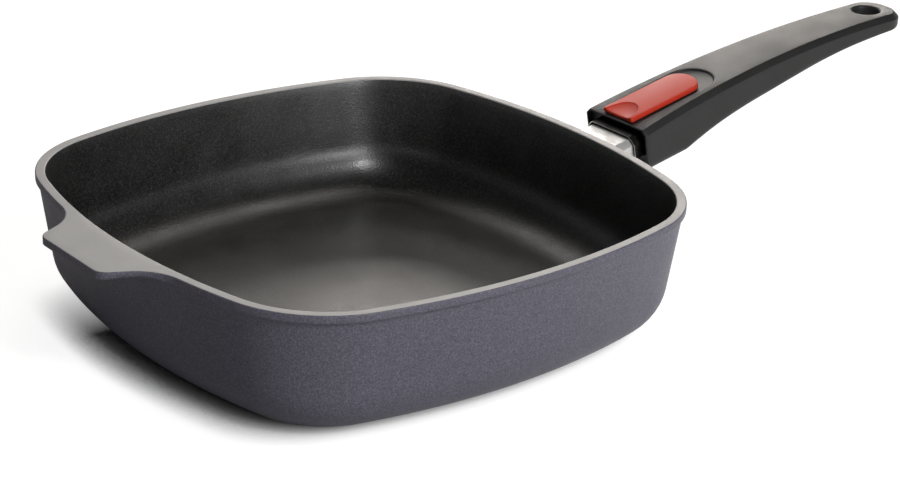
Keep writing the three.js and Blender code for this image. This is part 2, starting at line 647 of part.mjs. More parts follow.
// A coil spring as one unbroken tube along a helix.
function returnSpring() {
  const stepsPerTurn = 8;
  const sides = 5;
  const radius = (SPRING_DIAMETER - SPRING_WIRE) / 2;
  const start = pusherRear + FIT_GAP + SPRING_WIRE / 2;
  const pitch = (SPRING_LENGTH - SPRING_WIRE) / SPRING_TURNS;
  const lean = Math.atan2(pitch, 2 * Math.PI * radius);
  const along = new THREE.Vector3(1, 0, 0);
  const middles = [];
  const rings = [];
  for (let step = 0; step <= SPRING_TURNS * stepsPerTurn; step++) {
    const angle = step / stepsPerTurn * 2 * Math.PI;
    const outward = new THREE.Vector3(0, Math.cos(angle), Math.sin(angle));
    const round = new THREE.Vector3(0, -Math.sin(angle), Math.cos(angle));
    const across = along.clone().multiplyScalar(Math.cos(lean)).addScaledVector(round, -Math.sin(lean));
    const middle = outward.clone().multiplyScalar(radius);
    middle.add(new THREE.Vector3(start + pitch * step / stepsPerTurn, 0, -SPRING_DROP));
    middles.push(middle);
    rings.push(arc(0, 0, SPRING_WIRE / 2, 0, 2 * Math.PI, sides).slice(0, -1).map((p) => {
      return middle.clone().addScaledVector(outward, p.x).addScaledVector(across, -p.y);
    }));
  }
  let leastGap = Infinity;
  middles.forEach((a, i) => {
    for (const b of middles.slice(i + stepsPerTurn / 2)) {
      leastGap = Math.min(leastGap, a.distanceTo(b) - SPRING_WIRE);
    }
  });
  console.log(`return spring, least gap between turns: ${leastGap.toFixed(2)} mm`);
  return loft(rings);
}

function springGuidePin() {
  const rear = springEnd + PIN_SEAT;
  return rodAlongX(PIN_DIAMETER, rear - PIN_LENGTH, rear, 0, -SPRING_DROP);
}

// The handle's outside, in the pan's own frame. The top is an arc that starts at the mouth.
const mouthX = RIM_HALF + MOUTH_GAP;
const mouthZ = PAN_HEIGHT - MOUTH_DROP;
const tailX = mouthX + HANDLE_LENGTH;
const topCentreX = mouthX + TOP_RADIUS * Math.sin(TOP_SLOPE);
const topCentreZ = mouthZ - TOP_RADIUS * Math.cos(TOP_SLOPE);
const topHeight = (x) => topCentreZ + Math.sqrt(TOP_RADIUS ** 2 - (x - topCentreX) ** 2);

const kneeX = mouthX + BELLY_LENGTH;
const gripShares = GRIP_DEPTHS.map((_, i) => i / (GRIP_DEPTHS.length - 1));
const gripDepth = new THREE.CubicInterpolant(gripShares, GRIP_DEPTHS, 1);

// The front block's flat underside meets the grip's at the knee, which is rounded a little.
function underside(x) {
  const belly = mouthZ - BELLY_DEPTH + Math.tan(BELLY_SLOPE) * (x - mouthX);
  const share = THREE.MathUtils.clamp((x - kneeX) / (tailX - kneeX), 0, 1);
  const grip = topHeight(x) - gripDepth.evaluate(share)[0];
  const blend = THREE.MathUtils.smoothstep(x, kneeX - KNEE_BLEND / 2, kneeX + KNEE_BLEND / 2);
  return THREE.MathUtils.lerp(belly, grip, blend);
}

const tailRoundX = tailX - TAIL_CORNER_RADIUS;
const sideHalf = (x) => {
  const share = THREE.MathUtils.clamp((x - mouthX) / TAPER_LENGTH, 0, 1);
  return TAIL_HALF + (MOUTH_HALF - TAIL_HALF) * (1 - share) ** TAPER_POWER;
};

// Half the width of the plan, set in by an inset all round, with the tail's corners rounded.
function halfWidth(x, inset) {
  const past = Math.max(0, x - tailRoundX);
  const radius = TAIL_CORNER_RADIUS - inset;
  return sideHalf(x) - TAIL_CORNER_RADIUS + Math.sqrt(Math.max(0, radius ** 2 - past ** 2));
}

// A cross-section: flat top, bevelled upper edges, upright sides and round lower edges.
function handleRing(x) {
  const half = halfWidth(x, 0);
  const flat = halfWidth(x, EDGE_BEVEL);
  const endDrop = Math.max(0, x - tailX + EDGE_BEVEL);
  const top = topHeight(x);
  const low = underside(x);
  const radius = Math.min(LOWER_RADIUS, half / 2);
  const lower = arc(half - radius, low + radius, radius, -Math.PI / 2, 0, 3);
  const right = [...lower, point(half, top - EDGE_BEVEL), point(flat, top - endDrop)];
  const left = right.map((p) => point(-p.x, p.y)).reverse();
  return [...right, ...left].map((p) => new THREE.Vector3(x, p.x, p.y));
}

function handleOutside() {
  const start = mouthX - EDGE_BEVEL;
  const stationCount = 26;
  const rings = [];
  for (let i = 0; i < stationCount; i++) {
    rings.push(handleRing(THREE.MathUtils.lerp(start, tailRoundX, i / stationCount)));
  }
  const roundCount = 9;
  const lastAngle = Math.asin(1 - TAIL_EDGE / TAIL_CORNER_RADIUS);
  for (let i = 0; i <= roundCount; i++) {
    rings.push(handleRing(tailRoundX + TAIL_CORNER_RADIUS * Math.sin(lastAngle * i / roundCount)));
  }
  return loft(rings);
}

function hangingHole() {
  const x = tailX - HOLE_FROM_TAIL;
  const lean = Math.asin((topCentreX - x) / TOP_RADIUS);
  const reach = Math.max(...GRIP_DEPTHS);
  const hole = rodAlongZ(HOLE_DIAMETER, -reach, reach, 0, 0);
  return hole.rotateY(-lean).translate(x, 0, topHeight(x));
}

function handleGrip() {
  const outside = handleOutside().applyMatrix4(toMouth);
  const hole = hangingHole().applyMatrix4(toMouth);
  const front = box(-2 * MOUTH_GAP, 0, 2 * MOUTH_HALF, -2 * BELLY_DEPTH, BELLY_DEPTH);
  const socketGrow = TANG_PLAY + SLEEVE_SHEET + FIT_GAP;
  const socket = barAlongX(tangSection(socketGrow), -OVERCUT, sleeveEnd + FIT_GAP);
  const cavityHalf = CARRIAGE_HALF + RUN_GAP;
  const cavity = box(barFront - OVERCUT, chamberEnd, cavityHalf, sleeveTop, -RECESS_FLOOR);
  const chamber = box(sleeveEnd - OVERCUT, chamberEnd, cavityHalf, pusherBottom - RUN_GAP, -RECESS_FLOOR);
  const slotFront = barRear - RUN_GAP;
  const slotHalf = LEAF_HALF + 2 * RUN_GAP;
  const slot = box(slotFront, sliderEnd - SLIDER_REAR / 2, slotHalf, sleeveTop, OVERCUT);
  const bore = rodAlongX(SPRING_DIAMETER + 2 * RUN_GAP, chamberEnd - OVERCUT, springEnd, 0, -SPRING_DROP);
  const pinRear = springEnd + PIN_SEAT + FIT_GAP;
  const pinSeat = rodAlongX(PIN_DIAMETER + 2 * FIT_GAP, springEnd - OVERCUT, pinRear, 0, -SPRING_DROP);
  const recessHalf = SLIDER_HALF + RECESS_MARGIN;
  const recessCentre = sliderEnd + SLIDER_TRAVEL + RECESS_END_GAP - RECESS_REAR;
  const recessRear = arc(0, 0, 1, -Math.PI / 2, Math.PI / 2, ROUND_STEPS).map((p) => {
    return point(recessCentre + p.x * RECESS_REAR, p.y * recessHalf);
  });
  const recessOutline = [...recessRear, point(-OVERCUT, recessHalf), point(-OVERCUT, -recessHalf)];
  const recess = barAlongZ(recessOutline, 0, BELLY_DEPTH);
  const shankHole = SLEEVE_SCREW_DIAMETER + 2 * FIT_GAP;
  const screwHole = rodAlongZ(shankHole, screwSeat - OVERCUT, tangBottom, SLEEVE_SCREW_AT, 0);
  const headBore = SLEEVE_HEAD_DIAMETER + 2 * FIT_GAP;
  const headHole = rodAlongZ(headBore, -2 * BELLY_DEPTH, screwSeat, SLEEVE_SCREW_AT, 0);
  const inner = [socket, cavity, chamber, slot, bore, pinSeat];
  return build([outside], [hole, front, recess, ...inner, screwHole, headHole]);
}

function piece(name, geometry, finish) {
  const mesh = new THREE.Mesh(geometry, new THREE.MeshStandardMaterial(finish));
  mesh.name = name;
  return mesh;
}

const pan = new THREE.Group();
pan.add(piece('pan_body', panBody(), FINISH.coating));
pan.add(mouthFrame);
mouthFrame.add(
  piece('handle_bracket', handleBracket(), FINISH.steel),
  piece('bracket_screw_left', bracketScrew(screwSides[1]), FINISH.steel),
  piece('bracket_screw_right', bracketScrew(screwSides[0]), FINISH.steel),
  piece('handle_grip', handleGrip(), FINISH.grip),
  piece('socket_sleeve', socketSleeve(), FINISH.steel),
  piece('sleeve_screw', sleeveScrew(), FINISH.steel),
  piece('sleeve_nut', sleeveNut(), FINISH.steel),
  piece('catch_spring', catchSpring(), FINISH.spring),
  piece('catch_rivet_front', catchRivet(rivetStations[0]), FINISH.spring),
  piece('catch_rivet_rear', catchRivet(rivetStations[1]), FINISH.spring),
  piece('slider_button', sliderButton(), FINISH.slider),
  piece('slider_carriage', sliderCarriage(), FINISH.carriage),
  piece('return_spring', returnSpring(), FINISH.spring),
  piece('spring_guide_pin', springGuidePin(), FINISH.steel),
);

export default pan;
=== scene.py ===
# Looks of the square frying pan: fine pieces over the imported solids, materials, light and camera.
# Metres, +Z up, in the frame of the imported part.
import json
import math
from collections import namedtuple

import bmesh
import bpy
from mathutils import Matrix, Vector
from mathutils.geometry import delaunay_2d_cdt


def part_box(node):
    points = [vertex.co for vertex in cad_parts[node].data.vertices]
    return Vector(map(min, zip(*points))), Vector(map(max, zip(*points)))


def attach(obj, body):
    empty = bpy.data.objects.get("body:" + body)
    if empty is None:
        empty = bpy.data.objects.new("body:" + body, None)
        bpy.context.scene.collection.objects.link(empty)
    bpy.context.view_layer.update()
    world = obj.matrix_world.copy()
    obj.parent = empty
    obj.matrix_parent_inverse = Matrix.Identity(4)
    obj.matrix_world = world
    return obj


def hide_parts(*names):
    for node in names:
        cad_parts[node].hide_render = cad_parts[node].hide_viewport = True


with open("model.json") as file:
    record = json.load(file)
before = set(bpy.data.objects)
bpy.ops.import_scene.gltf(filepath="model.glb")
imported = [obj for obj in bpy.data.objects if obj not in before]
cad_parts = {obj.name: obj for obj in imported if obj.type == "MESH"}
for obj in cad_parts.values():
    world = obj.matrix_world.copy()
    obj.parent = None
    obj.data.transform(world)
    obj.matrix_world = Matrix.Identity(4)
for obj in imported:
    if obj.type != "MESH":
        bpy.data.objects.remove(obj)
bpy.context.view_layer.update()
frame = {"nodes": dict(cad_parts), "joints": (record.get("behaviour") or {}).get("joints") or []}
pan_low, pan_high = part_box("pan_body")
grip_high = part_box("handle_grip")[1]

# Pan, as in the solids
RIM_HALF = pan_high.y
PAN_HEIGHT = pan_high.z
SIDE_RADIUS = 0.324
CORNER_RADIUS = 0.057
RIM_WIDTH = 0.0046
RIM_EDGE = 0.0005  # round of its inner edge
RIM_EDGE_STEPS = 3
RIM_OUTER_EDGE = 0.0005  # round of its outer edge
COLLAR_HEIGHT = 0.0036
COLLAR_STEP = 0.0013
WALL_DRAFT = math.radians(7.9)
BOTTOM_RADIUS = 0.0247
INNER_DRAFT = math.radians(8)
FLOOR_RADIUS = 0.026
FLOOR_THICKNESS = 0.007
FLOOR_RINGS = (0.85, 0.6, 0.35, 0.12)  # rings on the flat floor, as shares of its size

# Lip
LIP_REACH = -pan_low.x - RIM_HALF
LIP_FRONT_HALF = 0.0244
LIP_ROOT_HALF = 0.0355
LIP_CORNER_RADIUS = 0.0075
LIP_FLARE_RADIUS = 0.024
LIP_COVE = 0.009  # height of the hollow under the lip
LIP_SIDE_Y = (0.0225, 0.03)  # the lower edge turns from the front's form to the sides' over this width
LIP_SIDE_SHARE = 0.3  # and over this share of the lip's reach
LIP_SIDE_ROUND = 0.0027  # round of the lower edge at the lip's sides
LOWER_ROUND = 0.00035  # round of the lower edge everywhere else
COLLAR_COVE = 0.0018  # height of the fillet under the plain collar

# The curve from the wall out to the lower edge, under the plain collar and under the lip
COVE_POWER = 0.6  # less brings in the lip's form earlier
COVE_FOOT = (0.65, 0.45)  # its lower handle lies this share of the height below the edge
COVE_REACH = (0.45, 0.6)  # its upper handle lies this share of the way in
COVE_SAG = (0.2, 0.0)  # and this share of the height below the edge

# Turned face under the pan
BASE_RADIUS = 0.092
BASE_GROOVE = 0.0006
BASE_CENTRE_RADIUS = 0.004

# Handle, as in the solids
PULL_AXIS = Vector(frame["joints"][0]["axis"])
TILT = math.atan2(PULL_AXIS.z, PULL_AXIS.x)
MOUTH_FROM_RIM = 0.0274
MOUTH_BELOW_RIM = 0.00195
MOUTH_X = RIM_HALF + MOUTH_FROM_RIM
MOUTH_Z = PAN_HEIGHT - MOUTH_BELOW_RIM
TAIL_X = grip_high.x
TOP_RADIUS = 0.818
TOP_SLOPE = math.radians(14.7)
MOUTH_HALF = 0.0222
TAIL_HALF = 0.0152
TAPER_LENGTH = 0.172
TAPER_POWER = 1.5
TAIL_CORNER_RADIUS = 0.013
EDGE_BEVEL = 0.0028
LOWER_RADIUS = 0.0045
TAIL_LOWER_RADIUS = 0.002  # it shrinks to this over the stretch before the tail
TAIL_STRETCH = (0.08, 0.025)  # measured from the tail's end
BELLY_DEPTH = 0.0232
BELLY_SLOPE = math.radians(9.2)
BELLY_LENGTH = 0.033
KNEE_BLEND = 0.008
GRIP_DEPTHS = [0.0257, 0.022, 0.0197, 0.0181, 0.016, 0.0134, 0.0111, 0.0097, 0.0086]
HOLE_RADIUS = 0.00725
HOLE_FROM_TAIL = 0.0174
HOLE_EDGE = 0.0014  # round of the hole's edges
HOLE_STEPS = 56
BEVEL_ROUND = 0.0006  # round of the bevel's two edges
MOUTH_EDGE = 0.0008  # round of the mouth's edges
MOUTH_WALL = 0.001  # thickness of the mouth's wall round its hollow
MOUTH_HOLLOW = 0.003  # depth of that hollow
TOP_CROWN = 0.0003  # how far the top falls away at its sides

# Slider and its recess
SLIDER_SETBACK = 0.0017
SLIDER_LENGTH = 0.0506
SLIDER_HALF = 0.0105
SLIDER_REAR = 0.008
SLIDER_HEIGHT = 0.003
SLIDER_ROUND = 0.0007  # round of its top edge
SLIDER_CORNER = 0.001
SLIDER_CROWN = 0.0006  # how far its top falls away at its sides
SLIDER_TRAVEL = frame["joints"][1]["range_m"][1]
RUN_GAP = 0.0003
RECESS_MARGIN = 0.002  # beside the slider
RECESS_PLAY = 0.0008  # behind the slider when it is drawn back
RECESS_HALF = SLIDER_HALF + RECESS_MARGIN
RECESS_FRONT = 0.0022  # the recess fades out here
RECESS_REAR = 0.0122  # length of its rounded rear
RECESS_CENTRE = SLIDER_SETBACK + SLIDER_LENGTH + SLIDER_TRAVEL + RECESS_PLAY - RECESS_REAR
RECESS_FLOOR = 0.001
DIMPLE_HALF = 0.0087
DIMPLE_LENGTH = 0.0121
DIMPLE_DEPTH = 0.0016
DIMPLE_FLATNESS = 0.55  # half makes it round to its edge, more makes it shallower there
DIMPLE_LINES = (1.0, 0.99, 0.97, 0.94, 0.9, 0.84, 0.76, 0.66, 0.54, 0.4)  # smaller copies of its edge

# Tang, flange and sleeve, in the frame of the mouth
TANG_TOP = -0.0053
TANG_HALF = 0.016
TANG_SHOULDER = 0.003
TANG_HEIGHT = 0.0095
TANG_SHEET = 0.002
TANG_LENGTH = 0.046
TANG_PLAY = 0.0009
TANG_FOLD = 0.0012  # round of its folds
TANG_EDGE = 0.0006  # its broken end edges
TANG_BOTTOM = TANG_TOP - TANG_HEIGHT
CATCH_WINDOW = (0.0283, 0.0323)  # the catch's window, along the tang
CATCH_WINDOW_HALF = 0.0029
FLANGE_FRONT = -0.0134
FLANGE_THICKNESS = 0.003
FLANGE_HALF = 0.0265
FLANGE_HEIGHT = 0.015
FLANGE_RADIUS = 0.006
FLANGE_EDGE = 0.0005  # its broken edges
BOSS_MARGIN = 0.0008
BOSS_FLARE = 0.0025
BOSS_EDGE = 0.0008  # round of its face's edge
BOSS_ROOT = RIM_WIDTH / 3  # how deep it is sunk into the wall
FIT_GAP = 0.0003
SLEEVE_SHEET = 0.0007
SLEEVE_FOLD = 0.002  # round of its folds, inside
SLEEVE_REACH = 0.0038
SLEEVE_END = 0.05

# Screws: diameter, length, and diameter and height of the head
BRACKET_SCREW = (0.005, 0.0143, 0.0086, 0.0032)
BRACKET_SCREW_Y = 0.021
SLEEVE_SCREW = (0.004, 0.0065, 0.007, 0.0024)
SLEEVE_SCREW_AT = 0.02
SCREW_WALL = 0.0024  # plastic between the sleeve and the head of its screw
SCREW_SEAT = TANG_BOTTOM - TANG_PLAY - SLEEVE_SHEET - FIT_GAP - SCREW_WALL
SCREW_TIP = (0.35, 0.15)  # radius and length of the tip, as shares of the diameter
SCREW_DOME = 0.45  # round of the head, as a share of its height

# Hollows inside the handle, in the frame of the mouth
CAVITY_FOLD = 0.0025
CHAMBER_X = (0.0133, 0.067)  # the carriage's chamber
CHAMBER_HALF = 0.0095
CHAMBER_LOW = -0.0103  # its floor behind the sleeve
SLOT_X = (0.018, 0.0483)  # the slot in the recess's floor
SLOT_HALF = 0.0066
SLOT_TOP = 0.0006
SPRING_LINE = -0.007  # height of the return spring's middle
SPRING_BORE_RADIUS = 0.0033
SPRING_BORE_END = 0.0964
PIN_SEAT_RADIUS = 0.0018
PIN_SEAT_X = (0.0954, 0.1047)
HEAD_BORE = 0.0038  # radius for the head of the sleeve's screw
SHANK_BORE = 0.0023
BORE_LOW = -0.05  # below the handle
CUT_PAST = 0.001  # how far a cutter runs past what it opens
CUT_INTO = 0.0005  # how far one cutter runs into another
CUT_STEP = 0.0001  # keeps the faces of two cutters apart

# Camera, found from the photo: where it stands, where it looks and how it is turned
CAMERA_PLACE = (-0.57045, -0.76862, 0.43649)
CAMERA_AZIMUTH = math.radians(50.88)  # of the view, from +X
CAMERA_DROP = math.radians(22.981)
CAMERA_ROLL = math.radians(1.847)
CAMERA_LENS = 90.217

mouth_frame = Matrix.Translation((MOUTH_X, 0, MOUTH_Z)) @ Matrix.Rotation(-TILT, 4, "Y")


# Small helpers

def mix(a, b, share):
    return a + (b - a) * share


def clamp(value, low=0.0, high=1.0):
    return max(low, min(high, value))


def smooth(value, low, high):
    share = clamp((value - low) / (high - low))
    return share * share * (3 - 2 * share)


def steps(count):
    """Even shares from 0 to 1, both included."""
    return [i / count for i in range(count + 1)]


def arc(centre, radius, start, end, count):
    angles = [mix(start, end, share) for share in steps(count)]
    return [Vector((centre[0] + radius * math.cos(a), centre[1] + radius * math.sin(a))) for a in angles]


def quarter(radius, count):
    """A quarter round from a side up to a top, as (distance in from the side, distance below the top)."""
    angles = [share * math.pi / 2 for share in steps(count)]
    return [(radius * (1 - math.cos(a)), radius * (1 - math.sin(a))) for a in angles]


def curve_value(values, share):
    """A smooth curve through values that are evenly spaced over shares from 0 to 1."""
    last = len(values) - 1
    at = clamp(share) * last
    i = min(int(at), last - 1)
    t = at - i
    p1, p2 = values[i], values[i + 1]
    p0 = values[i - 1] if i > 0 else 2 * p1 - p2
    p3 = values[i + 2] if i + 2 <= last else 2 * p2 - p1
    slope_1, slope_2 = (p2 - p0) / 2, (p3 - p1) / 2
    rise = p2 - p1
    bend = 3 * rise - 2 * slope_1 - slope_2
    return p1 + t * (slope_1 + t * (bend + t * (slope_1 + slope_2 - 2 * rise)))


def rounded_polygon(corners, count):
    """A closed outline from corners given as (x, y, radius)."""
    outline = []
    for i, (x, y, radius) in enumerate(corners):
        here = Vector((x, y))
        before = (Vector(corners[i - 1][:2]) - here).normalized()
        after = (Vector(corners[(i + 1) % len(corners)][:2]) - here).normalized()
        half = math.acos(clamp(before.dot(after), -1, 1)) / 2
        centre = here + (before + after).normalized() * (radius / math.sin(half))
        start = here + before * (radius / math.tan(half)) - centre
        end = here + after * (radius / math.tan(half)) - centre
        first = math.atan2(start.y, start.x)
        turn = math.atan2(end.y, end.x) - first
        turn = math.atan2(math.sin(turn), math.cos(turn))
        outline += arc(centre, radius, first, first + turn, count)
    return outline


def mirrored_polygon(right, count):
    """A closed outline from the corners of its right half, from the bottom up."""
    return rounded_polygon(right + [(-x, y, radius) for x, y, radius in reversed(right)], count)


def section(outline, x):
    """An outline in y and z as a ring at a place along x."""
    return [Vector((x, p.x, p.y)) for p in outline]


# Mesh building

GRID_CLEAR = 0.45  # how far a grid keeps clear of lines, as a share of its spacing
GRIP_GRID = 0.003
SLIDER_GRID = 0.0022


def join_rows(bm, low, high, material):
    for i in range(len(low)):
        j = (i + 1) % len(low)
        face = bm.faces.new((low[i], low[j], high[j], high[i]))
        face.material_index = material


def skin(bm, bands):
    """Joins closed rings into one skin. Each band is (ring, material of the faces that follow it)."""
    rows = [([bm.verts.new(p) for p in ring], material) for ring, material in bands]
    for (low, material), (high, _) in zip(rows, rows[1:]):
        join_rows(bm, low, high, material)
    return [row for row, _ in rows]


def closed_skin(rings):
    """A mesh of rings with a flat at both ends."""
    bm = bmesh.new()
    rows = skin(bm, [(ring, 0) for ring in rings])
    bm.faces.new(rows[0])
    bm.faces.new(rows[-1])
    return bm


def fan(bm, row, material):
    centre = bm.verts.new(sum((v.co for v in row), Vector()) / len(row))
    for i in range(len(row)):
        face = bm.faces.new((row[i], row[(i + 1) % len(row)], centre))
        face.material_index = material


def fill(bm, loops, extra, height_at, creases=()):
    """Fills the plan between the first loop and the holes in it, through extra points, at given heights."""
    points, edges = [], []
    for line, closed in [(loop, True) for loop in loops] + [(crease, False) for crease in creases]:
        first, count = len(points), len(line)
        points += [Vector((p.x, p.y)) for p in line]
        edges += [(first + i, first + (i + 1) % count) for i in range(count if closed else count - 1)]
    heights = [p.z for loop in loops for p in loop]
    points += [Vector((p.x, p.y)) for p in extra]
    found = delaunay_2d_cdt(points, edges, [], 0, 1e-9)
    coords, faces, sources = found[0], found[2], found[3]
    verts = []
    for place, source in zip(coords, sources):
        known = [heights[i] for i in source if i < len(heights)]
        verts.append(bm.verts.new((place.x, place.y, known[0] if known else height_at(place.x, place.y))))
    for face in faces:
        middle = sum((coords[i] for i in face), Vector((0, 0))) / len(face)
        if inside(middle, loops[0]) and not any(inside(middle, hole) for hole in loops[1:]):
            bm.faces.new([verts[i] for i in face])
    for vert in verts:
        if not vert.link_faces:
            bm.verts.remove(vert)


def inside(place, loop):
    found = False
    for i, a in enumerate(loop):
        b = loop[i - 1]
        if (a.y > place.y) != (b.y > place.y):
            if place.x < (b.x - a.x) * (place.y - a.y) / (b.y - a.y) + a.x:
                found = not found
    return found


def grid_points(low_x, high_x, half, spacing, loops):
    """Points of an even grid inside the first loop that keep clear of all the loops."""
    points = []
    clear = spacing * GRID_CLEAR
    for i in range(int((high_x - low_x) / spacing) + 1):
        for j in range(-int(half / spacing), int(half / spacing) + 1):
            place = Vector((low_x + i * spacing, j * spacing))
            if not inside(place, loops[0]):
                continue
            if all((p.to_2d() - place).length > clear for loop in loops for p in loop):
                points.append(place)
    return points


def make_piece(name, bm, materials, matrix=None):
    """Turns a built mesh into an object whose place is in its mesh."""
    bmesh.ops.remove_doubles(bm, verts=bm.verts, dist=1e-7)
    if matrix is not None:
        bmesh.ops.transform(bm, matrix=matrix, verts=bm.verts)
    bmesh.ops.recalc_face_normals(bm, faces=bm.faces)
    mesh = bpy.data.meshes.new(name)
    bm.to_mesh(mesh)
    bm.free()
    for material in materials:
        mesh.materials.append(material)
    piece = bpy.data.objects.new(name, mesh)
    bpy.context.scene.collection.objects.link(piece)
    return piece


def shade(piece, degrees=35):
    mesh = piece.data
    mesh.polygons.foreach_set("use_smooth", [True] * len(mesh.polygons))
    mesh.set_sharp_from_angle(angle=math.radians(degrees))
    return piece


def combine(piece, other, operation):
    """Joins another piece to this one or cuts it away, and removes the other."""
    modifier = piece.modifiers.new("combine", "BOOLEAN")
    modifier.operation = operation
    modifier.solver = "EXACT"
    modifier.object = other
    graph = bpy.context.evaluated_depsgraph_get()
    mesh = bpy.data.meshes.new_from_object(piece.evaluated_get(graph))
    piece.modifiers.clear()
    old = piece.data
    piece.data = mesh
    mesh.name = piece.name
    bpy.data.meshes.remove(old)
    bpy.data.objects.remove(other)
    return piece


def bar_along(outline, start, end, edge=0.0):
    """A straight bar of an outline in y and z, with its end edges broken."""
    middle = sum(outline, Vector((0, 0))) / len(outline)
    size = max((p - middle).length for p in outline)
    rings = []
    for x, shrink in [(start, edge), (start + edge, 0), (end - edge, 0), (end, edge)]:
        scale = 1 - shrink / size
        rings.append(section([middle + (p - middle) * scale for p in outline], x))
    return closed_skin(rings if edge else rings[1:3])


def box_bar(start, end, half, low, high):
    outline = [Vector((-half, low)), Vector((half, low)), Vector((half, high)), Vector((-half, high))]
    return bar_along(outline, start, end)


def turned(profile, count):
    """A turned piece about +Z from (radius, height) pairs, closed at both ends by a flat."""
    turns = [2 * math.pi * i / count for i in range(count)]
    return closed_skin([[Vector((r * math.cos(t), r * math.sin(t), z)) for t in turns] for r, z in profile])


# Materials

NOISE_RANGE = (0.3, 0.7)  # most values of a noise lie in it
SPECKLE_GRAIN = 1300
MOULD_GRAIN = 1500


def start_material(name):
    material = bpy.data.materials.new(name)
    material.use_nodes = True
    return material, material.node_tree


def feed(tree, socket, value):
    """Gives a socket a value, or links another socket to it."""
    if isinstance(value, bpy.types.NodeSocket):
        tree.links.new(value, socket)
    else:
        socket.default_value = value


def node(tree, kind, output, inputs=None, **settings):
    """Adds a node with these settings and inputs and returns one of its outputs."""
    made = tree.nodes.new("ShaderNode" + kind)
    for name, value in settings.items():
        setattr(made, name, value)
    for name, value in (inputs or {}).items():
        feed(tree, made.inputs[name], value)
    return made.outputs[output]


def dressed(material, looks):
    """Gives the shader of a material its looks, each a value or a socket."""
    tree = material.node_tree
    for name, value in looks.items():
        feed(tree, tree.nodes["Principled BSDF"].inputs[name], value)
    return material


def object_place(tree):
    return node(tree, "TexCoord", "Object")


def axis(tree, vector, letter):
    return node(tree, "SeparateXYZ", letter, {"Vector": vector})


def stretched(tree, vector, scale):
    return node(tree, "Mapping", "Vector", {"Vector": vector, "Scale": scale})


def noise(tree, vector, scale, detail, roughness=0.5):
    inputs = {"Vector": vector, "Scale": scale, "Detail": detail, "Roughness": roughness}
    return node(tree, "TexNoise", "Fac", inputs)


def spread(tree, value, low, high, new_low, new_high):
    ends = {"From Min": low, "From Max": high, "To Min": new_low, "To Max": new_high}
    return node(tree, "MapRange", "Result", {"Value": value, **ends})


def blend(tree, share, low, high):
    """Goes from low to high, each a number or a socket, by a share."""
    return spread(tree, share, 0, 1, low, high)


def patchy(tree, value, low, high):
    """Spreads a noise from low to high."""
    return spread(tree, value, *NOISE_RANGE, low, high)


def ramp(tree, value, colours, places=NOISE_RANGE):
    """Colours at places of a value, blended in between."""
    colour = node(tree, "ValToRGB", "Color", {"Fac": value})
    elements = colour.node.color_ramp.elements
    while len(elements) < len(places):
        elements.new(0.5)
    for element, place, tone in zip(elements, places, colours):
        element.position = place
        element.color = (*tone, 1)
    return colour


def bump(tree, height, distance, strength):
    return node(tree, "Bump", "Normal", {"Height": height, "Distance": distance, "Strength": strength})


def speckled(name, colours, roughness, specular, depth):
    """A sprayed coating: a fine mottle with small lighter flakes, and a fine uneven surface.

    It is rougher on the pan's floor and smoother up the walls, from the first roughness to the second.
    """
    material, tree = start_material(name)
    place = object_place(tree)
    flakes = noise(tree, place, SPECKLE_GRAIN, 1)
    low, high = FLOOR_THICKNESS, FLOOR_THICKNESS + FLOOR_RADIUS / 2
    gloss = spread(tree, axis(tree, place, "Z"), low, high, *roughness)
    patches = patchy(tree, noise(tree, place, 60, 3), -0.04, 0.04)
    return dressed(material, {
        "Base Color": ramp(tree, flakes, colours, (0.3, 0.5, 0.7)),
        "Roughness": node(tree, "Math", "Value", {0: gloss, 1: patches}),
        "Specular IOR Level": specular,
        "Normal": bump(tree, flakes, depth, 0.6),
    })


def slate_coating():
    colours = [(0.084, 0.08, 0.104), (0.114, 0.11, 0.142), (0.158, 0.153, 0.19)]
    return speckled("slate_coating", colours, (0.45, 0.45), 0.3, 0.00004)


def nonstick_coating():
    colours = [(0.001, 0.001, 0.001), (0.008, 0.008, 0.0078), (0.034, 0.0335, 0.032)]
    return speckled("nonstick_coating", colours, (0.4, 0.32), 0.7, 0.00014)


def bare_rim():
    """Machined aluminium, with fine tool lines that follow the rim."""
    material, tree = start_material("bare_rim")
    along = stretched(tree, node(tree, "UVMap", "UV"), (60, 9000, 1))
    lines = noise(tree, along, 1, 3)
    return dressed(material, {
        "Base Color": ramp(tree, lines, [(0.325, 0.321, 0.317), (0.395, 0.39, 0.385)], (0.25, 0.75)),
        "Roughness": patchy(tree, noise(tree, object_place(tree), 90, 3), 0.55, 0.65),
        "Metallic": 0.12,
        "Normal": bump(tree, lines, 0.00002, 0.5),
    })


def turned_base():
    """Bare aluminium with the fine rings that a lathe leaves."""
    material, tree = start_material("turned_base")
    place = object_place(tree)
    reach = node(tree, "VectorMath", "Value", {0: stretched(tree, place, (1, 1, 0))}, operation="LENGTH")
    grain = {"W": reach, "Scale": 1600, "Detail": 3}
    rings = node(tree, "TexNoise", "Fac", grain, noise_dimensions="1D")
    return dressed(material, {
        "Base Color": ramp(tree, rings, [(0.42, 0.41, 0.4), (0.56, 0.555, 0.545)]),
        "Roughness": patchy(tree, noise(tree, place, 35, 3), 0.3, 0.42),
        "Metallic": 0.95,
        "Normal": bump(tree, rings, 0.00004, 0.7),
    })


def moulded(name, dark, light, specular, depth):
    """Moulded plastic with a fine spark-eroded grain."""
    material, tree = start_material(name)
    place = object_place(tree)
    return dressed(material, {
        "Base Color": ramp(tree, noise(tree, place, MOULD_GRAIN, 2, 0.6), [dark, light]),
        "Roughness": patchy(tree, noise(tree, place, 45, 4), 0.45, 0.55),
        "Specular IOR Level": specular,
        "Normal": bump(tree, noise(tree, place, MOULD_GRAIN * 1.2, 3), depth, 0.6),
    })


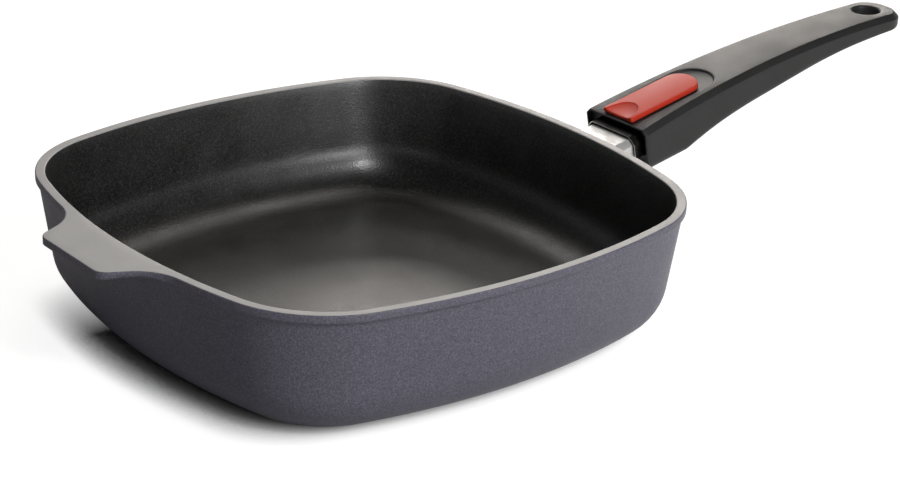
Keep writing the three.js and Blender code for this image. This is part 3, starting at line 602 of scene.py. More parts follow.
def brushed(name, dark, light, roughness, direction, metallic=1.0):
    """Steel with a fine grain along one direction."""
    material, tree = start_material(name)
    lines = noise(tree, stretched(tree, object_place(tree), direction), 1, 3)
    return dressed(material, {
        "Base Color": ramp(tree, lines, [dark, light]),
        "Roughness": patchy(tree, lines, roughness - 0.04, roughness + 0.05),
        "Metallic": metallic,
        "Normal": bump(tree, lines, 0.000004, 0.3),
    })


# Pan: stations round its plan, each with the middle of its arc, the way out and the arc's radius

Station = namedtuple("Station", "centre outward radius lip")

SIDE_CENTRE = RIM_HALF - SIDE_RADIUS
CENTRE_GAP = SIDE_RADIUS - CORNER_RADIUS
CORNER_CENTRE = (SIDE_CENTRE + math.sqrt(2 * CENTRE_GAP ** 2 - SIDE_CENTRE ** 2)) / 2
SIDE_ANGLE = math.atan2(CORNER_CENTRE, CORNER_CENTRE - SIDE_CENTRE)
LIP_SIDE = 2  # the sides are counted from the handle's


def lip_outline(inset):
    """Plan of the lip, set in by an inset, from where it leaves the rim to where it meets it again."""
    middle = Vector((SIDE_CENTRE, 0))
    corner = Vector((RIM_HALF + LIP_REACH, LIP_FRONT_HALF))
    root_x = SIDE_CENTRE + math.sqrt(SIDE_RADIUS ** 2 - LIP_ROOT_HALF ** 2)
    along = (Vector((root_x, LIP_ROOT_HALF)) - corner).normalized()
    out = Vector((along.y, -along.x))
    start = corner + out * LIP_FLARE_RADIUS - middle
    gap = start.length_squared - (SIDE_RADIUS + LIP_FLARE_RADIUS) ** 2
    reach = -start.dot(along) - math.sqrt(start.dot(along) ** 2 - gap)
    flare = corner + out * LIP_FLARE_RADIUS + along * reach
    inward = middle - flare
    first = math.atan2(inward.y, inward.x) + 2 * math.pi
    last = math.atan2(-out.y, -out.x) + 2 * math.pi
    points = arc(flare, LIP_FLARE_RADIUS + inset, first, last, 12)
    round_y = corner.y - LIP_CORNER_RADIUS * (1 - out.x) / out.y
    round_centre = Vector((corner.x - LIP_CORNER_RADIUS, round_y))
    round_points = arc(round_centre, LIP_CORNER_RADIUS - inset, math.atan2(out.y, out.x), 0, 10)
    points += [points[-1].lerp(round_points[0], share) for share in steps(5)[1:-1]] + round_points
    points += [Vector((points[-1].x, round_y * (1 - share))) for share in steps(6)[1:]]
    points += [Vector((p.x, -p.y)) for p in reversed(points[:-1])]
    return [Vector((-p.x, p.y)) for p in points]


def plan_stations():
    lip_angles = [-math.asin(p.y / SIDE_RADIUS) for p in lip_outline(0)]
    plain = [mix(-SIDE_ANGLE, lip_angles[0], share) for share in steps(8)[:-1]]
    lip_side = [(angle, None) for angle in plain]
    lip_side += [(angle, i) for i, angle in enumerate(lip_angles)]
    lip_side += [(-angle, None) for angle in reversed(plain[1:])]
    plain_side = [(mix(-SIDE_ANGLE, SIDE_ANGLE, share), None) for share in steps(28)[:-1]]
    corner = [(mix(SIDE_ANGLE, math.pi / 2 - SIDE_ANGLE, share), None) for share in steps(28)[:-1]]
    stations = []
    for side in range(4):
        turn = side * math.pi / 2
        side_centre = Vector((math.cos(turn), math.sin(turn))) * SIDE_CENTRE
        corner_centre = Matrix.Rotation(turn, 2) @ Vector((CORNER_CENTRE, CORNER_CENTRE))
        arcs = [(side_centre, SIDE_RADIUS, lip_side if side == LIP_SIDE else plain_side)]
        arcs.append((corner_centre, CORNER_RADIUS, corner))
        for centre, radius, angles in arcs:
            for angle, lip in angles:
                outward = Vector((math.cos(turn + angle), math.sin(turn + angle)))
                stations.append(Station(centre, outward, radius, lip))
    return stations


STATIONS = plan_stations()


def plan_point(station, inset):
    return station.centre + station.outward * (station.radius - inset)


def edge_points(inset):
    """The rim's outer outline with the lip, set in by an inset."""
    lip = lip_outline(inset)
    return [plan_point(s, inset) if s.lip is None else lip[s.lip] for s in STATIONS]


def outer_inset(z):
    return COLLAR_STEP + (PAN_HEIGHT - COLLAR_HEIGHT - z) * math.tan(WALL_DRAFT)


def inner_inset(z):
    return RIM_WIDTH + (PAN_HEIGHT - z) * math.tan(INNER_DRAFT)


def corner_profile(inset_at, draft, floor, radius, count):
    """The round between a floor and a wall, as (inset, height) from the floor's edge to the wall."""
    touch = floor + radius * (1 - math.sin(draft))
    centre = inset_at(touch) + radius * math.cos(draft)
    points = arc((-centre, floor + radius), radius, -math.pi / 2, -draft, count)
    return [(-p.x, p.y) for p in points]


def raised(points, z):
    return [Vector((p.x, p.y, z)) for p in points]


def plan_ring(inset, z):
    return raised([plan_point(s, inset) for s in STATIONS], z)


def on_outside(station, z):
    return Vector((*plan_point(station, outer_inset(z)), z))


def curve_point(controls, share):
    """A point of the smooth curve between the first and last of four controls."""
    rest = 1 - share
    weights = (rest ** 3, 3 * rest ** 2 * share, 3 * rest * share ** 2, share ** 3)
    return sum((c * w for c, w in zip(controls, weights)), Vector((0, 0, 0)))


def lip_share(station, place):
    """How far a point of the outline stands out with the lip, from 0 on the plain rim to 1 at its front."""
    return clamp((place - plan_point(station, 0)).length / LIP_REACH)


def lower_rounds(outline):
    """Round of the collar's lower edge at each point of the rim's outline."""
    rounds = []
    for station, place in zip(STATIONS, outline):
        sideways = smooth(abs(place.y), *LIP_SIDE_Y)
        sideways *= smooth(lip_share(station, place), 0, LIP_SIDE_SHARE)
        rounds.append(mix(LOWER_ROUND, LIP_SIDE_ROUND, sideways))
    return rounds


def hollow_curve(station, place, edge):
    """The curve from the wall out to the collar's lower edge, flatter under the lip."""
    share = lip_share(station, place) ** COVE_POWER
    height = mix(COLLAR_COVE, LIP_COVE, share)
    foot = on_outside(station, edge - height)
    wall = on_outside(station, edge - height * mix(*COVE_FOOT, share))
    end = Vector((*place, edge))
    level = Vector((foot.x, foot.y, edge))
    start = end.lerp(level, mix(*COVE_REACH, share)) - Vector((0, 0, height * mix(*COVE_SAG, share)))
    return foot, wall, start, end


def pan_outside():
    """Rings from the edge of the flat underside up to the rim's top edge."""
    bottom = corner_profile(outer_inset, WALL_DRAFT, 0, BOTTOM_RADIUS, 12)
    rings = [plan_ring(inset, z) for inset, z in bottom]
    touch = rings[-1][0].z
    edge = PAN_HEIGHT - COLLAR_HEIGHT
    outline, deep = edge_points(0), edge_points(LIP_SIDE_ROUND)
    rounds = lower_rounds(outline)

    def lower_edge(rise, inward):
        ring = []
        for full, inner, radius in zip(outline, deep, rounds):
            place = full.lerp(inner, radius * inward / LIP_SIDE_ROUND)
            ring.append(Vector((*place, edge + radius * rise)))
        return ring

    hollows = [hollow_curve(station, p.to_2d(), edge) for station, p in zip(STATIONS, lower_edge(0, 1))]
    for share in steps(10)[1:]:
        heights = [mix(touch, hollow[0].z, share) for hollow in hollows]
        rings.append([on_outside(station, z) for station, z in zip(STATIONS, heights)])
    for share in steps(14)[1:]:
        rings.append([curve_point(hollow, share) for hollow in hollows])
    rings += [lower_edge(rise, inward) for rise, inward in quarter(1, 6)[1:]]
    for inset, fall in quarter(RIM_OUTER_EDGE, 4):
        rings.append(raised(edge_points(inset), PAN_HEIGHT - fall))
    return rings


def pan_inside():
    """Rings from the rim's inner edge down to the edge of the flat floor."""
    edge_round = quarter(RIM_EDGE, RIM_EDGE_STEPS)
    rings = [plan_ring(RIM_WIDTH - inward, PAN_HEIGHT - fall) for fall, inward in edge_round]
    floor_round = corner_profile(inner_inset, INNER_DRAFT, FLOOR_THICKNESS, FLOOR_RADIUS, 14)[::-1]
    for share in steps(8)[1:-1]:
        z = mix(PAN_HEIGHT - RIM_EDGE, floor_round[0][1], share)
        rings.append(plan_ring(inner_inset(z), z))
    return rings + [plan_ring(inset, z) for inset, z in floor_round]


def shrunk(ring, share):
    return [Vector((p.x * share, p.y * share, p.z)) for p in ring]


def underside_rings():
    """Round rings from the middle of the turned face out to its groove, with a point for each station."""
    profile = [
        (BASE_CENTRE_RADIUS * 0.8, BASE_GROOVE),
        (BASE_CENTRE_RADIUS, BASE_GROOVE * 0.8),
        (BASE_CENTRE_RADIUS * 1.2, 0.0),
        (BASE_RADIUS * 0.35, 0.0),
        (BASE_RADIUS * 0.7, 0.0),
        (BASE_RADIUS - 3 * BASE_GROOVE, 0.0),
        (BASE_RADIUS - 2 * BASE_GROOVE, BASE_GROOVE),
        (BASE_RADIUS - BASE_GROOVE, BASE_GROOVE),
        (BASE_RADIUS, 0.0),
    ]
    ways = [plan_point(station, 0).normalized() for station in STATIONS]
    return [[Vector((way.x * radius, way.y * radius, z)) for way in ways] for radius, z in profile]


def write_rim_lines(bm, rows):
    """Gives the faces between these rows a length along the rim and a distance across it."""
    layer = bm.loops.layers.uv.verify()
    first, count = rows[0], len(STATIONS)
    along = [0.0]
    for i in range(count):
        along.append(along[-1] + (first[(i + 1) % count].co - first[i].co).length)
    for low, high in zip(rows, rows[1:]):
        for i in range(count):
            j = (i + 1) % count
            starts = {low[i]: (i, i), low[j]: (i + 1, j), high[j]: (i + 1, j), high[i]: (i, i)}
            for loop in bm.faces.get(list(starts)).loops:
                at, k = starts[loop.vert]
                loop[layer].uv = (along[at], (loop.vert.co - first[k].co).length)


def pan_shell(coating, nonstick, rim, base):
    bm = bmesh.new()
    outside, inside_rings, under = pan_outside(), pan_inside(), underside_rings()
    edge, inner, floor_edge = outside[-1], inside_rings[0], inside_rings[-1]
    rim_rings = [[a.lerp(b, share) for a, b in zip(edge, inner)] for share in steps(5)[:-1]]
    rim_rings += inside_rings[:RIM_EDGE_STEPS]
    floor_rings = [shrunk(floor_edge, share) for share in FLOOR_RINGS]
    coated, coated_inside, bare, turned_face = range(4)
    bands = [(ring, turned_face) for ring in under[:-1]]
    bands += [(ring, coated) for ring in under[-1:] + outside[:-1]]
    bands += [(ring, bare) for ring in rim_rings]
    bands += [(ring, coated_inside) for ring in inside_rings[RIM_EDGE_STEPS:] + floor_rings]
    rows = skin(bm, bands)
    fan(bm, rows[0], turned_face)
    fan(bm, rows[-1], coated_inside)
    first = len(under) + len(outside) - 1
    write_rim_lines(bm, rows[first:first + len(rim_rings) + 1])
    piece = make_piece("pan_shell", bm, [coating, nonstick, rim, base])
    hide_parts("pan_body")
    return shade(piece)


def flange_outline(margin):
    """Outline of the bracket's flange in y and z, with a margin round it."""
    half, radius = FLANGE_HALF + margin, FLANGE_RADIUS + margin
    low, high = TANG_TOP - FLANGE_HEIGHT - margin, TANG_TOP + margin
    corners = [(-half, low, radius), (half, low, radius), (half, high, radius), (-half, high, radius)]
    return rounded_polygon(corners, 10)


def pan_boss(coating):
    """The cast pad that carries the handle's bracket. Its root is sunk into the wall."""
    face = FLANGE_FRONT - FLANGE_THICKNESS - FIT_GAP

    def on_wall(p, sunk):
        u = face
        for _ in range(20):
            place = mouth_frame @ Vector((u, p.x, p.y))
            reach = math.hypot(place.x - SIDE_CENTRE, place.y)
            u -= (reach - (SIDE_RADIUS - outer_inset(place.z) - sunk)) / math.cos(TILT)
        return u

    rings = []
    for back, shrink in quarter(BOSS_EDGE, 4):
        rings.append(section(flange_outline(BOSS_MARGIN - shrink), face - back))
    for share in steps(6)[1:]:
        outline = flange_outline(BOSS_MARGIN + BOSS_FLARE * (1 - math.sqrt(1 - share ** 2)))
        rings.append([Vector((mix(face - BOSS_EDGE, on_wall(p, 0), share), *p)) for p in outline])
    root = flange_outline(BOSS_MARGIN + BOSS_FLARE)
    rings.append([Vector((on_wall(p, BOSS_ROOT), *p)) for p in root])
    return shade(make_piece("pan_boss", closed_skin(rings), [coating], mouth_frame))


# Bracket

def tang_outline(grow, fold):
    """The closed section of the tang grown on every side, with rounded folds."""
    half = TANG_HALF + grow
    shoulder = TANG_SHOULDER + grow * (1 - math.tan(math.pi / 8))
    top, bottom = TANG_TOP + grow, TANG_BOTTOM - grow
    right = [(half, bottom, fold), (half, top - shoulder, fold), (half - shoulder, top, fold)]
    return mirrored_polygon(right, 6)


def bracket(steel):
    back = FLANGE_FRONT - FLANGE_THICKNESS
    plate = bar_along(flange_outline(0), back, FLANGE_FRONT, FLANGE_EDGE)
    piece = make_piece("handle_tang", plate, [steel], mouth_frame)
    bar = bar_along(tang_outline(0, TANG_FOLD), back + FLANGE_EDGE, TANG_LENGTH, TANG_EDGE)
    tang = make_piece("tang", bar, [steel], mouth_frame)
    channel = tang_outline(-TANG_SHEET, TANG_FOLD / 2)
    for p in channel:
        if p.y < TANG_BOTTOM + TANG_SHEET + TANG_FOLD:
            p.y = TANG_BOTTOM - TANG_SHEET
    hollows = [
        bar_along(channel, FLANGE_FRONT, TANG_LENGTH + 3 * CUT_PAST),
        box_bar(*CATCH_WINDOW, CATCH_WINDOW_HALF, TANG_TOP - 2 * TANG_SHEET, 0),
    ]
    for bm in hollows:
        combine(tang, make_piece("hollow", bm, [], mouth_frame), "DIFFERENCE")
    combine(piece, tang, "UNION")
    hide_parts("handle_bracket")
    return shade(piece, 30)


def screw_piece(name, node_name, steel, sizes, matrix):
    """A domed screw with a hexagon socket."""
    diameter, length, head, height = sizes
    tip_radius, tip_length = [diameter * share for share in SCREW_TIP]
    profile = [(tip_radius, -length), (diameter / 2, tip_length - length), (diameter / 2, 0), (head / 2, 0)]
    profile += [(head / 2 - inward, height - fall) for inward, fall in quarter(height * SCREW_DOME, 6)]
    piece = make_piece(name, turned(profile, 48), [steel])
    socket = turned([(head / 4, height / 2), (head / 4, height * 1.2)], 6)
    combine(piece, make_piece("socket", socket, [steel]), "DIFFERENCE")
    piece.data.transform(matrix)
    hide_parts(node_name)
    return shade(piece, 30)


def bracket_screw(side, steel):
    name = "left" if side > 0 else "right"
    middle = TANG_TOP - FLANGE_HEIGHT / 2
    place = Matrix.Translation((FLANGE_FRONT + FIT_GAP, side * BRACKET_SCREW_Y, middle))
    matrix = mouth_frame @ place @ Matrix.Rotation(math.pi / 2, 4, "Y")
    return screw_piece("flange_screw_" + name, "bracket_screw_" + name, steel, BRACKET_SCREW, matrix)


def sleeve_screw(steel):
    place = Matrix.Translation((SLEEVE_SCREW_AT, 0, SCREW_SEAT - FIT_GAP))
    matrix = mouth_frame @ place @ Matrix.Rotation(math.pi, 4, "X")
    return screw_piece("socket_screw", "sleeve_screw", steel, SLEEVE_SCREW, matrix)


# Sleeve

def sleeve(outer_finish, edge_finish):
    """The thin liner of the socket: dark outside and inside, bright on its cut front edge."""
    front, broken = -SLEEVE_REACH, SLEEVE_SHEET / 5

    def ring(grow, x):
        return section(tang_outline(TANG_PLAY + grow, SLEEVE_FOLD + grow), x)

    bm = bmesh.new()
    rows = skin(bm, [
        (ring(SLEEVE_SHEET, SLEEVE_END), 0),
        (ring(SLEEVE_SHEET, front + broken), 0),
        (ring(SLEEVE_SHEET - broken, front), 1),
        (ring(broken, front), 0),
        (ring(0, front + broken), 0),
        (ring(0, SLEEVE_END), 0),
    ])
    join_rows(bm, rows[-1], rows[0], 0)
    piece = make_piece("socket_liner", bm, [outer_finish, edge_finish], mouth_frame)
    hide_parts("socket_sleeve")
    return shade(piece, 30)


# Handle grip

TOP_CENTRE_X = MOUTH_X + TOP_RADIUS * math.sin(TOP_SLOPE)
TOP_CENTRE_Z = MOUTH_Z - TOP_RADIUS * math.cos(TOP_SLOPE)
KNEE_X = MOUTH_X + BELLY_LENGTH
TAIL_ROUND_X = TAIL_X - TAIL_CORNER_RADIUS
HOLE_X = TAIL_X - HOLE_FROM_TAIL


def top_height(x):
    return TOP_CENTRE_Z + math.sqrt(TOP_RADIUS ** 2 - (x - TOP_CENTRE_X) ** 2)


def underside(x):
    belly = MOUTH_Z - BELLY_DEPTH + math.tan(BELLY_SLOPE) * (x - MOUTH_X)
    grip = top_height(x) - curve_value(GRIP_DEPTHS, (x - KNEE_X) / (TAIL_X - KNEE_X))
    return mix(belly, grip, smooth(x, KNEE_X - KNEE_BLEND / 2, KNEE_X + KNEE_BLEND / 2))


def side_half(x):
    share = clamp((x - MOUTH_X) / TAPER_LENGTH)
    return TAIL_HALF + (MOUTH_HALF - TAIL_HALF) * (1 - share) ** TAPER_POWER


def crowned_top(x, y):
    return top_height(x) - TOP_CROWN * (y / side_half(x)) ** 2


def mouth_x(z, setback):
    """Where the mouth's leaning face is at a height."""
    return MOUTH_X + (setback - (z - MOUTH_Z) * math.sin(TILT)) / math.cos(TILT)


def lower_radius(x):
    before, after = [TAIL_X - reach for reach in TAIL_STRETCH]
    return mix(LOWER_RADIUS, TAIL_LOWER_RADIUS, smooth(x, before, after))


def mouth_setback(distance):
    """How far the mouth's rounded edge lies back at a distance from the outline of its top or bottom."""
    rest = clamp(MOUTH_EDGE - distance, 0, MOUTH_EDGE)
    return MOUTH_EDGE - math.sqrt(MOUTH_EDGE ** 2 - rest ** 2)


def grip_loop(inset_at, front_inset, height_at):
    """A closed loop round the grip, set in from its sides and its mouth. Inset and height follow x."""
    front = MOUTH_X
    for _ in range(6):
        front = mouth_x(height_at(front), front_inset)
    start = front + MOUTH_EDGE
    half = side_half(start) - inset_at(start)
    near = arc((start, -(half - MOUTH_EDGE)), MOUTH_EDGE, math.pi, math.pi * 1.5, 5)
    for share in steps(84)[1:-1]:
        x = mix(start, TAIL_ROUND_X, share)
        near.append(Vector((x, inset_at(x) - side_half(x))))
    flat = TAIL_HALF - TAIL_CORNER_RADIUS
    tail_radius = TAIL_CORNER_RADIUS - inset_at(TAIL_ROUND_X)
    near += arc((TAIL_ROUND_X, -flat), tail_radius, math.pi * 1.5, math.pi * 2, 16)
    far = [Vector((p.x, -p.y)) for p in reversed(near)]
    end = [near[-1].lerp(far[0], share) for share in steps(4)[1:-1]]
    mouth = [far[-1].lerp(near[0], share) for share in steps(26)[1:-1]]
    return [Vector((p.x, p.y, height_at(p.x))) for p in near + end + far + mouth]


def grip_sides():
    """Loops from the edge of the flat top, over the bevel and down the sides, to the underside."""
    start = EDGE_BEVEL + math.tan(math.pi / 8) * BEVEL_ROUND
    turns = [share * math.pi / 4 for share in steps(4)]
    bevel = [(start - BEVEL_ROUND * math.sin(a), BEVEL_ROUND * (1 - math.cos(a))) for a in turns]
    bevel += [(inset, fall) for fall, inset in reversed(bevel)]
    loops = []
    for inset, fall in bevel:
        loops.append(grip_loop(lambda x, inset=inset: inset, mouth_setback(fall),
                               lambda x, fall=fall: top_height(x) - TOP_CROWN - fall))
    side_fall = start + TOP_CROWN
    for share in steps(5)[1:-1]:
        loops.append(grip_loop(lambda x: 0, 0, lambda x, share=share: mix(
            top_height(x) - side_fall, underside(x) + lower_radius(x), share)))
    for inward, rise in quarter(1, 8):
        loops.append(grip_loop(lambda x, inward=inward: lower_radius(x) * inward,
                               mouth_setback(LOWER_RADIUS * rise),
                               lambda x, rise=rise: underside(x) + lower_radius(x) * rise))
    return loops


def recess_height(x):
    return MOUTH_Z + (x - MOUTH_X) * math.tan(TILT)


def recess_outline():
    """Plan of the recess with the way out at each point, along both sides and round the rear."""
    side = [mix(RECESS_FRONT, RECESS_CENTRE, share) for share in steps(28)[:-1]]
    points = [(Vector((u, -RECESS_HALF)), Vector((0, -1))) for u in side]
    for share in steps(44):
        angle = mix(-math.pi / 2, math.pi / 2, share)
        place = Vector((RECESS_CENTRE + RECESS_REAR * math.cos(angle), RECESS_HALF * math.sin(angle)))
        way = Vector((RECESS_HALF * math.cos(angle), RECESS_REAR * math.sin(angle))).normalized()
        points.append((place, way))
    points += [(Vector((u, RECESS_HALF)), Vector((0, 1))) for u in reversed(side)]
    for share in steps(24)[1:-1]:
        points.append((Vector((RECESS_FRONT, mix(RECESS_HALF, -RECESS_HALF, share))), Vector((-1, 0))))
    scale = math.cos(TILT)
    return [(Vector((MOUTH_X + p.x * scale, p.y)), way) for p, way in points]


# The recess's wall: how far out a point is, and its share of the depth, for a wall of full depth
RECESS_WALL = [
    (0.0010, 0.0), (0.0006, 0.04), (0.0003, 0.16), (0.0001, 0.36),
    (0.0, 0.6), (-0.0001, 0.82), (-0.0003, 0.95), (-0.0006, 1.0),
]
RECESS_DEPTH = 0.0012
RECESS_LEAST = 0.1  # a shallower wall is narrower, down to this share


def recess_rings():
    rings = []
    outline = recess_outline()
    for out, share in RECESS_WALL:
        ring = []
        for place, way in outline:
            depth = max(0.0, top_height(place.x) - recess_height(place.x))
            p = place + way * (out * clamp(depth / RECESS_DEPTH, RECESS_LEAST))
            high = crowned_top(p.x, p.y)
            ring.append(Vector((p.x, p.y, mix(high, min(high, recess_height(p.x)), share))))
        rings.append(ring)
    return rings


def hole_rings():
    """Rings of the hanging hole from the top face down to the underside."""
    turns = [2 * math.pi * i / HOLE_STEPS for i in range(HOLE_STEPS)]

    def ring(wider, height_at):
        radius = HOLE_RADIUS + wider
        places = [(HOLE_X + radius * math.cos(t), radius * math.sin(t)) for t in turns]
        return [Vector((x, y, height_at(x, y))) for x, y in places]

    edge = quarter(HOLE_EDGE, 6)
    rings = [ring(wider, lambda x, y, fall=fall: crowned_top(x, y) - fall) for fall, wider in edge]
    rings += [ring(wider, lambda x, y, rise=rise: underside(x) + rise) for rise, wider in reversed(edge)]
    return rings


def mouth_outline(inset):
    """The mouth's outline in y and z, set in by an inset."""
    half, low, corner = MOUTH_HALF - inset, inset - BELLY_DEPTH, LOWER_RADIUS - inset
    bevel = EDGE_BEVEL - inset * (2 - math.sqrt(2))
    right = [(half, low, corner), (half, -inset - bevel, BEVEL_ROUND), (half - bevel, -inset, BEVEL_ROUND)]
    return mirrored_polygon(right, 8)


def bore_along(radius, start, end, count):
    """A round bore along the return spring's line."""
    bm = turned([(radius, start), (radius, end)], count)
    bmesh.ops.transform(bm, matrix=Matrix.Rotation(math.pi / 2, 4, "Y"), verts=bm.verts)
    bmesh.ops.translate(bm, vec=(0, 0, SPRING_LINE), verts=bm.verts)
    return bm


def grip_cavity():
    """Everything that is hollow inside the grip, as one cutter."""
    socket = tang_outline(TANG_PLAY + SLEEVE_SHEET + FIT_GAP, CAVITY_FOLD)
    sleeve_top = TANG_TOP + TANG_PLAY + SLEEVE_SHEET
    start, end = CHAMBER_X
    head = [(HEAD_BORE, BORE_LOW), (HEAD_BORE, SCREW_SEAT)]
    shank = [(SHANK_BORE, SCREW_SEAT), (SHANK_BORE, TANG_BOTTOM)]
    screw_hole = turned(head + shank, 40)
    bmesh.ops.translate(screw_hole, vec=(SLEEVE_SCREW_AT, 0, 0), verts=screw_hole.verts)
    hollows = [
        bar_along(socket, -CUT_PAST, SLEEVE_END + FIT_GAP),
        box_bar(start, end, CHAMBER_HALF, sleeve_top - CUT_INTO, -RECESS_FLOOR),
        box_bar(SLEEVE_END - CUT_PAST, end, CHAMBER_HALF, CHAMBER_LOW, -RECESS_FLOOR - CUT_STEP),
        box_bar(*SLOT_X, SLOT_HALF, -RECESS_FLOOR - CUT_INTO, SLOT_TOP),
        bar_along(mouth_outline(MOUTH_WALL), -MOUTH_HOLLOW - CUT_PAST, MOUTH_HOLLOW),
        bore_along(SPRING_BORE_RADIUS, end - CUT_PAST, SPRING_BORE_END, 32),
        bore_along(PIN_SEAT_RADIUS, *PIN_SEAT_X, 24),
        screw_hole,
    ]
    cutter, *others = [make_piece("hollow", bm, []) for bm in hollows]
    for other in others:
        combine(cutter, other, "UNION")
    cutter.data.transform(mouth_frame)
    return cutter


def grip(plastic):
    bm = bmesh.new()
    sides, recess, hole = grip_sides(), recess_rings(), hole_rings()
    skin(bm, [(loop, 0) for loop in sides])
    recess_rows = skin(bm, [(ring, 0) for ring in recess])
    bm.faces.new(recess_rows[-1])
    skin(bm, [(ring, 0) for ring in hole])
    top_loops, low_loops = [sides[0], recess[0], hole[0]], [sides[-1], hole[-1]]
    for loops, height_at in [(top_loops, crowned_top), (low_loops, lambda x, y: underside(x))]:
        fill(bm, loops, grid_points(MOUTH_X, TAIL_X, MOUTH_HALF, GRIP_GRID, loops), height_at)
    piece = make_piece("handle_shell", bm, [plastic])
    combine(piece, grip_cavity(), "DIFFERENCE")
    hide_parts("handle_grip")
    return shade(piece, 32)


# Slider

def slider_plan(inset):
    """Plan of the slider set in by an inset: rounded rear, straight sides and a straight front."""
    half = SLIDER_HALF - inset
    front = SLIDER_SETBACK + inset
    rear = SLIDER_SETBACK + SLIDER_LENGTH - SLIDER_REAR
    unit = arc((0, 0), 1, -math.pi / 2, math.pi / 2, 40)
    points = [Vector((rear + p.x * (SLIDER_REAR - inset), p.y * half)) for p in unit]
    corner = arc((front + SLIDER_CORNER, half - SLIDER_CORNER), SLIDER_CORNER, math.pi / 2, math.pi, 5)
    points += [points[-1].lerp(corner[0], share) for share in steps(24)[1:-1]] + corner
    points += [corner[-1].lerp(Vector((front, SLIDER_CORNER - half)), share) for share in steps(40)[1:-1]]
    points += [Vector((p.x, -p.y)) for p in reversed(corner)]
    points += [points[-1].lerp(points[0], share) for share in steps(24)[1:-1]]
    return points


def dimple(u, y):
    """Depth of the thumb hollow, which is open at the slider's front."""
    along = max(0.0, u - SLIDER_SETBACK) / DIMPLE_LENGTH
    rest = max(0.0, 1 - along ** 2 - (y / DIMPLE_HALF) ** 2)
    return DIMPLE_DEPTH * rest ** DIMPLE_FLATNESS


def dimple_line(share):
    """The hollow's edge, or a smaller copy of it, as far as it lies on the slider's top."""
    first = SLIDER_SETBACK + SLIDER_ROUND * 1.2
    points = []
    for turn in steps(60):
        angle = mix(-math.pi / 2, math.pi / 2, turn)
        u = SLIDER_SETBACK + DIMPLE_LENGTH * share * math.cos(angle)
        if u > first:
            points.append(Vector((u, DIMPLE_HALF * share * math.sin(angle))))
    return points


def slider_top(u, y):
    return RUN_GAP + SLIDER_HEIGHT - SLIDER_CROWN * (y / SLIDER_HALF) ** 2 - dimple(u, y)


def slider(plastic):
    bm = bmesh.new()
    rings = [raised(slider_plan(RUN_GAP), RUN_GAP), raised(slider_plan(0), 2 * RUN_GAP)]
    for inset, fall in quarter(SLIDER_ROUND, 6):
        rings.append([Vector((p.x, p.y, slider_top(p.x, p.y) - fall)) for p in slider_plan(inset)])
    rows = skin(bm, [(ring, 0) for ring in rings])
    bm.faces.new(rows[0])
    edge = rings[-1]
    lines = [dimple_line(share) for share in DIMPLE_LINES]
    extra = grid_points(0, SLIDER_SETBACK + SLIDER_LENGTH, SLIDER_HALF, SLIDER_GRID, [edge] + lines)
    fill(bm, [edge], extra, slider_top, lines)
    piece = make_piece("slider_cap", bm, [plastic], mouth_frame)
    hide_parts("slider_button")
    return shade(piece, 28)


# Stage, light and camera

MIRROR_RAYS = ("Is Glossy Ray", "Is Transmission Ray")
LAMP_TARGET = Vector((0.06, 0, 0.04))
LAMP_DISTANCE = 1.8
HANDLE_TARGET = Vector((0.19, 0, 0.065))
FLOOR_TONE = 0.5  # the floor's colour as it lights the object
FLOOR_SEEN = 0.3  # its colour where it is seen, less because its own white is added
FLOOR_WHITE = 0.88  # what the floor adds to its own light where it is seen
FLOOR_MIRRORED = 0.7  # and in reflections
FLOOR_FADE = (-0.1, 0.15)  # in reflections that comes in over this stretch of x
CONTACT_REACH = 0.026  # how far the painted shadow darkens the floor round the object's foot
CONTACT_LEAN = {"X": 0.7, "Y": -0.7, "Z": 0.4}  # the way the floor looks for the painted shadow, to throw that shadow to the lip's side
CONTACT_FADE = (0.04, 0.1)  # the painted shadow dies away over this stretch of y
CONTACT_OPEN = (0.43, 0.74)  # the painted shadow goes from black to full white over these shares of open sky
ROOM_FILL = 0.03  # the room as light
ROOM_HIGH = 0.05  # the room in reflections, overhead
ROOM_RISE = (0.1, 0.38)  # in reflections it goes from white to that over these heights


def seen_by(tree, *rays):
    """One for these kinds of ray, zero for the others."""
    path = tree.nodes.new("ShaderNodeLightPath")
    seen = path.outputs[rays[0]]
    for name in rays[1:]:
        seen = node(tree, "Math", "Value", {0: seen, 1: path.outputs[name]}, operation="MAXIMUM")
    return seen


